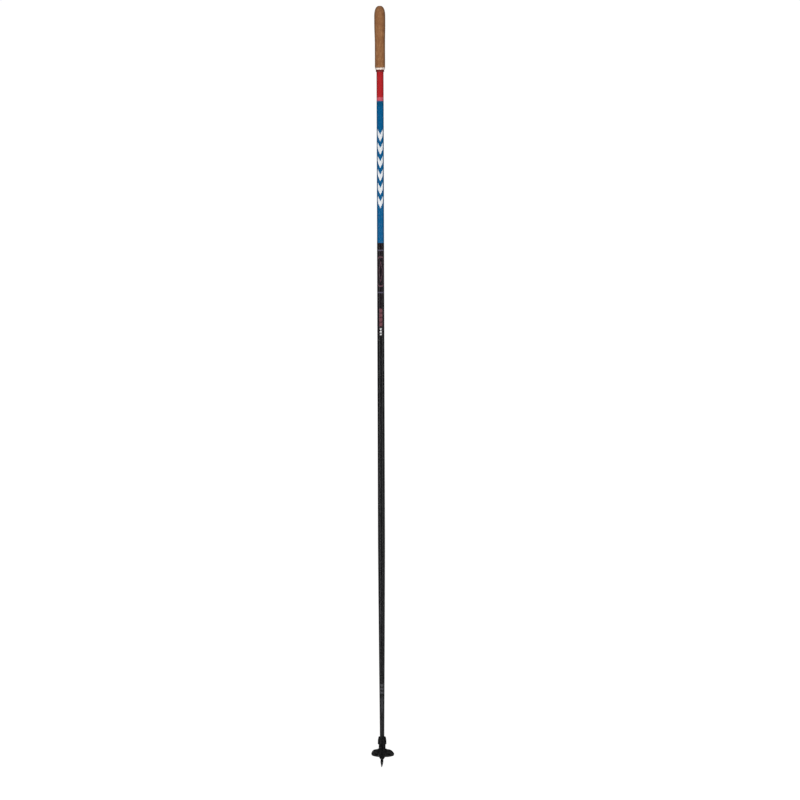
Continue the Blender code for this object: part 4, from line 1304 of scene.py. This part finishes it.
def rib(degrees):
    """A web under the disc, deep at the hub and shallow at its end."""
    web = block("rib", (-0.00075, 0, UNDER - 0.0034), (0.00075, RIB_REACH, 0))
    edit(web)
    pick(web, lambda spot: spot.y > RIB_REACH / 2 and spot.z < UNDER)
    bpy.ops.transform.translate(value=(0, 0, 0.0028))
    bpy.ops.mesh.select_all(action="SELECT")
    bpy.ops.transform.rotate(value=-math.radians(degrees), orient_axis="Z", center_override=(0, 0, 0))
    bpy.ops.transform.translate(value=(0, DISC_FRONT / math.cos(SLOPE), 0))
    leave_edit()
    return web


for side in (1, -1):
    combine(disc, oval("lip", side, LIP_WIDTH, UNDER - LIP_HEIGHT, 0), "UNION")
for degrees in RIB_ANGLES:
    combine(disc, rib(degrees), "UNION")
for side in (1, -1):
    combine(disc, oval("pocket", side, 0, UNDER - 0.005, UNDER + POCKET_SINK))
disc.rotation_euler.x = -SLOPE
disc.location = (0, -DISC_FRONT, HINGE)
only(disc)
bpy.ops.object.transform_apply()
boss = cylinder("boss", BOSS_RADIUS, BOSS_LOW, BOSS_TOP)
round_edges(boss, 0.0012, segments=4)
combine(disc, boss, "UNION")
apply(disc, "REMESH", mode="VOXEL", voxel_size=0.00036)
apply(disc, "SMOOTH", factor=0.5, iterations=4)
combine(disc, cylinder("disc_bore", HUB_RADIUS + GAP, BOSS_LOW - 0.02, BOSS_TOP + 0.02))
combine(disc, cylinder("disc_groove", FLANGE_RADIUS + GAP, FLANGE_LOW - GAP, FLANGE_TOP + GAP))
put(disc, disc_look, "basket", "basket_disc", degrees=50)

# %% [markdown]
# ## Sleeve and point
# The steel sleeve is pressed into the hub's foot and holds the hard point. Both are turned, and lean
# with the foot. A groove round the sleeve and a fine flat at the end of the point catch the light.

# %% The steel sleeve
POINT_LENGTH = 0.0094
SLEEVE_RADIUS = 0.00325
SLEEVE_LOW = above(POINT_LENGTH) + GAP
POINT_SHANK = 0.0014
POINT_SOCKET = SLEEVE_LOW + 0.0110

outline = [
    (0, SHANK_TOP),
    (SHANK_RADIUS, SHANK_TOP),
    (SHANK_RADIUS, SLEEVE_TOP),
    (SLEEVE_RADIUS, SLEEVE_TOP),
    (SLEEVE_RADIUS, SLEEVE_TOP - 0.0016),
    (SLEEVE_RADIUS - 0.00025, SLEEVE_TOP - 0.0018),
    (SLEEVE_RADIUS - 0.00025, SLEEVE_TOP - 0.0022),
    (SLEEVE_RADIUS, SLEEVE_TOP - 0.0024),
    (SLEEVE_RADIUS, SLEEVE_LOW + 0.0006),
    (SLEEVE_RADIUS - 0.0003, SLEEVE_LOW),
    (POINT_SHANK + GAP, SLEEVE_LOW),
    (POINT_SHANK + GAP, POINT_SOCKET),
    (0, POINT_SOCKET),
]
sleeve = lean(turned("steel_sleeve", outline, 72))
round_edges(sleeve, 0.0001)
put(sleeve, steel_look, "basket", "tip_sleeve")

# %% The hard point
POINT_RADIUS = 0.0030
POINT_END = 0.0008

outline = [
    (0, POINT_SOCKET - GAP),
    (POINT_SHANK, POINT_SOCKET - GAP),
    (POINT_SHANK, above(POINT_LENGTH)),
    (POINT_RADIUS, above(POINT_LENGTH)),
    (POINT_RADIUS * 0.66 + POINT_END * 0.34, above(POINT_LENGTH * 0.66)),
    (POINT_RADIUS * 0.33 + POINT_END * 0.67, above(POINT_LENGTH * 0.33)),
    (POINT_END, POINT),
    (0, POINT),
]
point = lean(turned("hard_point", outline, 72))
round_edges(point, 0.00012, degrees=40)
put(point, hard_look, "basket", "carbide_tip")

# %% [markdown]
# ## The lock nut
# The nut is a turned shell with ten shallow flutes for the fingers. It is spun in a multiple of ten
# steps, so that each flute is a few columns of points. Those columns are picked and scaled towards the
# axis, each by the depth that a round cutter would leave there. The thread is cut inside it.

# %% The lock nut
NUT_LOW, NUT_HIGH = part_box("lock_nut")[0].z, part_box("lock_nut")[1].z
NUT_RADIUS = 0.00975
NUT_FLARE = 0.0021
NUT_SKIRT = 0.0031
NUT_CHAMFER = 0.0008
NUT_STATIONS = 12
FLUTES = 10
FLUTE_COLUMNS = 16
FLUTE_RADIUS = 0.0017
FLUTE_DEPTH = 0.00045
FLUTE_REACH = 4  # columns on each side that the cutter touches
HOLE_RADIUS = TUBE_END_RADIUS + 0.0005
NUT_BORE = ROOT_RADIUS + GAP
LIP_LOW = HUB_TOP + GAP
LIP_TOP = LIP_LOW + 0.0012
COLLET_NECK = COLLET_FOOT + MOUTH_FLARE
COLLET_FLANGE = COLLET_NECK + 0.0009
COLLET_TOP = LIP_TOP + GAP + 0.0016
SHOULDER = COLLET_TOP + GAP
SEAL_THICKNESS = 0.0005  # half of it
SEAL_RADIUS = TUBE_END_RADIUS + GAP + SEAL_THICKNESS
SEAL_HEIGHT = SHOULDER + 0.0016 + SEAL_THICKNESS


def nut_radius(height):
    share = max(0, (height - NUT_LOW - NUT_SKIRT) / (NUT_HIGH - NUT_LOW - NUT_SKIRT))
    return NUT_RADIUS - NUT_FLARE * share**2.5


outline = [(HOLE_RADIUS, NUT_HIGH), (nut_radius(NUT_HIGH) - NUT_CHAMFER, NUT_HIGH)]
shoulder_drop = NUT_HIGH - NUT_CHAMFER - NUT_LOW - NUT_SKIRT
for step in range(NUT_STATIONS + 1):
    height = NUT_HIGH - NUT_CHAMFER - shoulder_drop * step / NUT_STATIONS
    outline.append((nut_radius(height), height))
groove = SEAL_RADIUS + SEAL_THICKNESS + GAP
outline += [
    (NUT_RADIUS, NUT_LOW + NUT_CHAMFER),
    (NUT_RADIUS - NUT_CHAMFER, NUT_LOW),
    (NUT_BORE + 0.0007, NUT_LOW),
    (NUT_BORE, NUT_LOW + 0.0007),
    (NUT_BORE, LIP_LOW),
    (COLLET_NECK + GAP, LIP_LOW),
    (COLLET_NECK + GAP, LIP_TOP),
    (COLLET_FLANGE + GAP, LIP_TOP),
    (COLLET_FLANGE + GAP, SHOULDER),
    (HOLE_RADIUS, SHOULDER),
    (HOLE_RADIUS, SEAL_HEIGHT - SEAL_THICKNESS - GAP),
    (groove, SEAL_HEIGHT - SEAL_THICKNESS - GAP),
    (groove, SEAL_HEIGHT + SEAL_THICKNESS + GAP),
    (HOLE_RADIUS, SEAL_HEIGHT + SEAL_THICKNESS + GAP),
    (HOLE_RADIUS, NUT_HIGH),
]
columns = FLUTES * FLUTE_COLUMNS
nut = turned("fluted_nut", outline, columns)
print("nut shell:", count(nut), "triangles")

# %% Pressing in the flutes
OUTSIDE = nut_radius(NUT_HIGH) - NUT_CHAMFER * 1.2


def from_flute(spot):
    """How many columns away the middle of the nearest flute is."""
    turn = math.atan2(spot.y, spot.x) / (2 * math.pi) * columns
    return abs(turn % FLUTE_COLUMNS - FLUTE_COLUMNS / 2)


edit(nut)
for away in range(FLUTE_REACH):
    sideways = 2 * math.pi * NUT_RADIUS * away / columns
    press = FLUTE_DEPTH - (FLUTE_RADIUS - math.sqrt(FLUTE_RADIUS**2 - sideways**2))
    pick(nut, lambda spot: math.hypot(spot.x, spot.y) > OUTSIDE and abs(from_flute(spot) - away) < 0.5)
    shrink = 1 - press / NUT_RADIUS
    bpy.ops.transform.resize(value=(shrink, shrink, 1), center_override=(0, 0, 0))
leave_edit()
wide, narrow = RIDGE_ROOT + 2 * GAP, RIDGE_CREST + 2 * GAP
start = RIDGE_LOW - 3 * LEAD
turns = (LIP_LOW - wide / 2 - GAP / 2 - start) / LEAD
groove_tool = thread(
    "nut_groove", NUT_BORE - 0.00035, NUT_BORE - GAP, CREST_RADIUS + GAP, wide, narrow, start, turns
)
combine(nut, groove_tool)
put(nut, nut_look, "nut", "lock_nut")

# %% [markdown]
# The seal is a small rubber ring in the nut's groove, a torus pressed a little flat where it is squeezed.
# The split collet is the ring that grips the stem: a turned cone with four slits sawn up from its foot.

# %% Seal ring and split collet
deselect_all()
bpy.ops.mesh.primitive_torus_add(
    major_segments=72,
    minor_segments=20,
    major_radius=SEAL_RADIUS,
    minor_radius=SEAL_THICKNESS,
    location=(0, 0, SEAL_HEIGHT),
)
seal = named("seal_ring")
edit(seal)
pick(seal, lambda spot: math.hypot(spot.x, spot.y) < SEAL_RADIUS - SEAL_THICKNESS * 0.8)
bpy.ops.transform.resize(value=(1.006, 1.006, 0.8), center_override=(0, 0, SEAL_HEIGHT))
leave_edit()
put(seal, seal_look, "nut", "nut_seal_ring")

COLLET_LOW = MOUTH_FLOOR + GAP
SLITS = 4
outline = [
    (BORE_RADIUS, COLLET_TOP),
    (COLLET_FLANGE, COLLET_TOP),
    (COLLET_FLANGE, LIP_TOP + GAP),
    (COLLET_NECK, LIP_TOP + GAP),
    (COLLET_NECK, HUB_TOP),
    (COLLET_FOOT, COLLET_LOW),
    (BORE_RADIUS, COLLET_LOW),
    (BORE_RADIUS, COLLET_TOP),
]
collet = turned("split_cone", outline, 72)
for number in range(SLITS):
    slit = block("slit", (0, -0.00045, COLLET_LOW - GAP), (HUB_RADIUS, 0.00045, COLLET_LOW + 0.0058))
    slit.rotation_euler.z = 2 * math.pi * (number + 0.5) / SLITS
    combine(collet, slit)
round_edges(collet, 0.0001)
put(collet, collet_look, "collet", "split_collet")
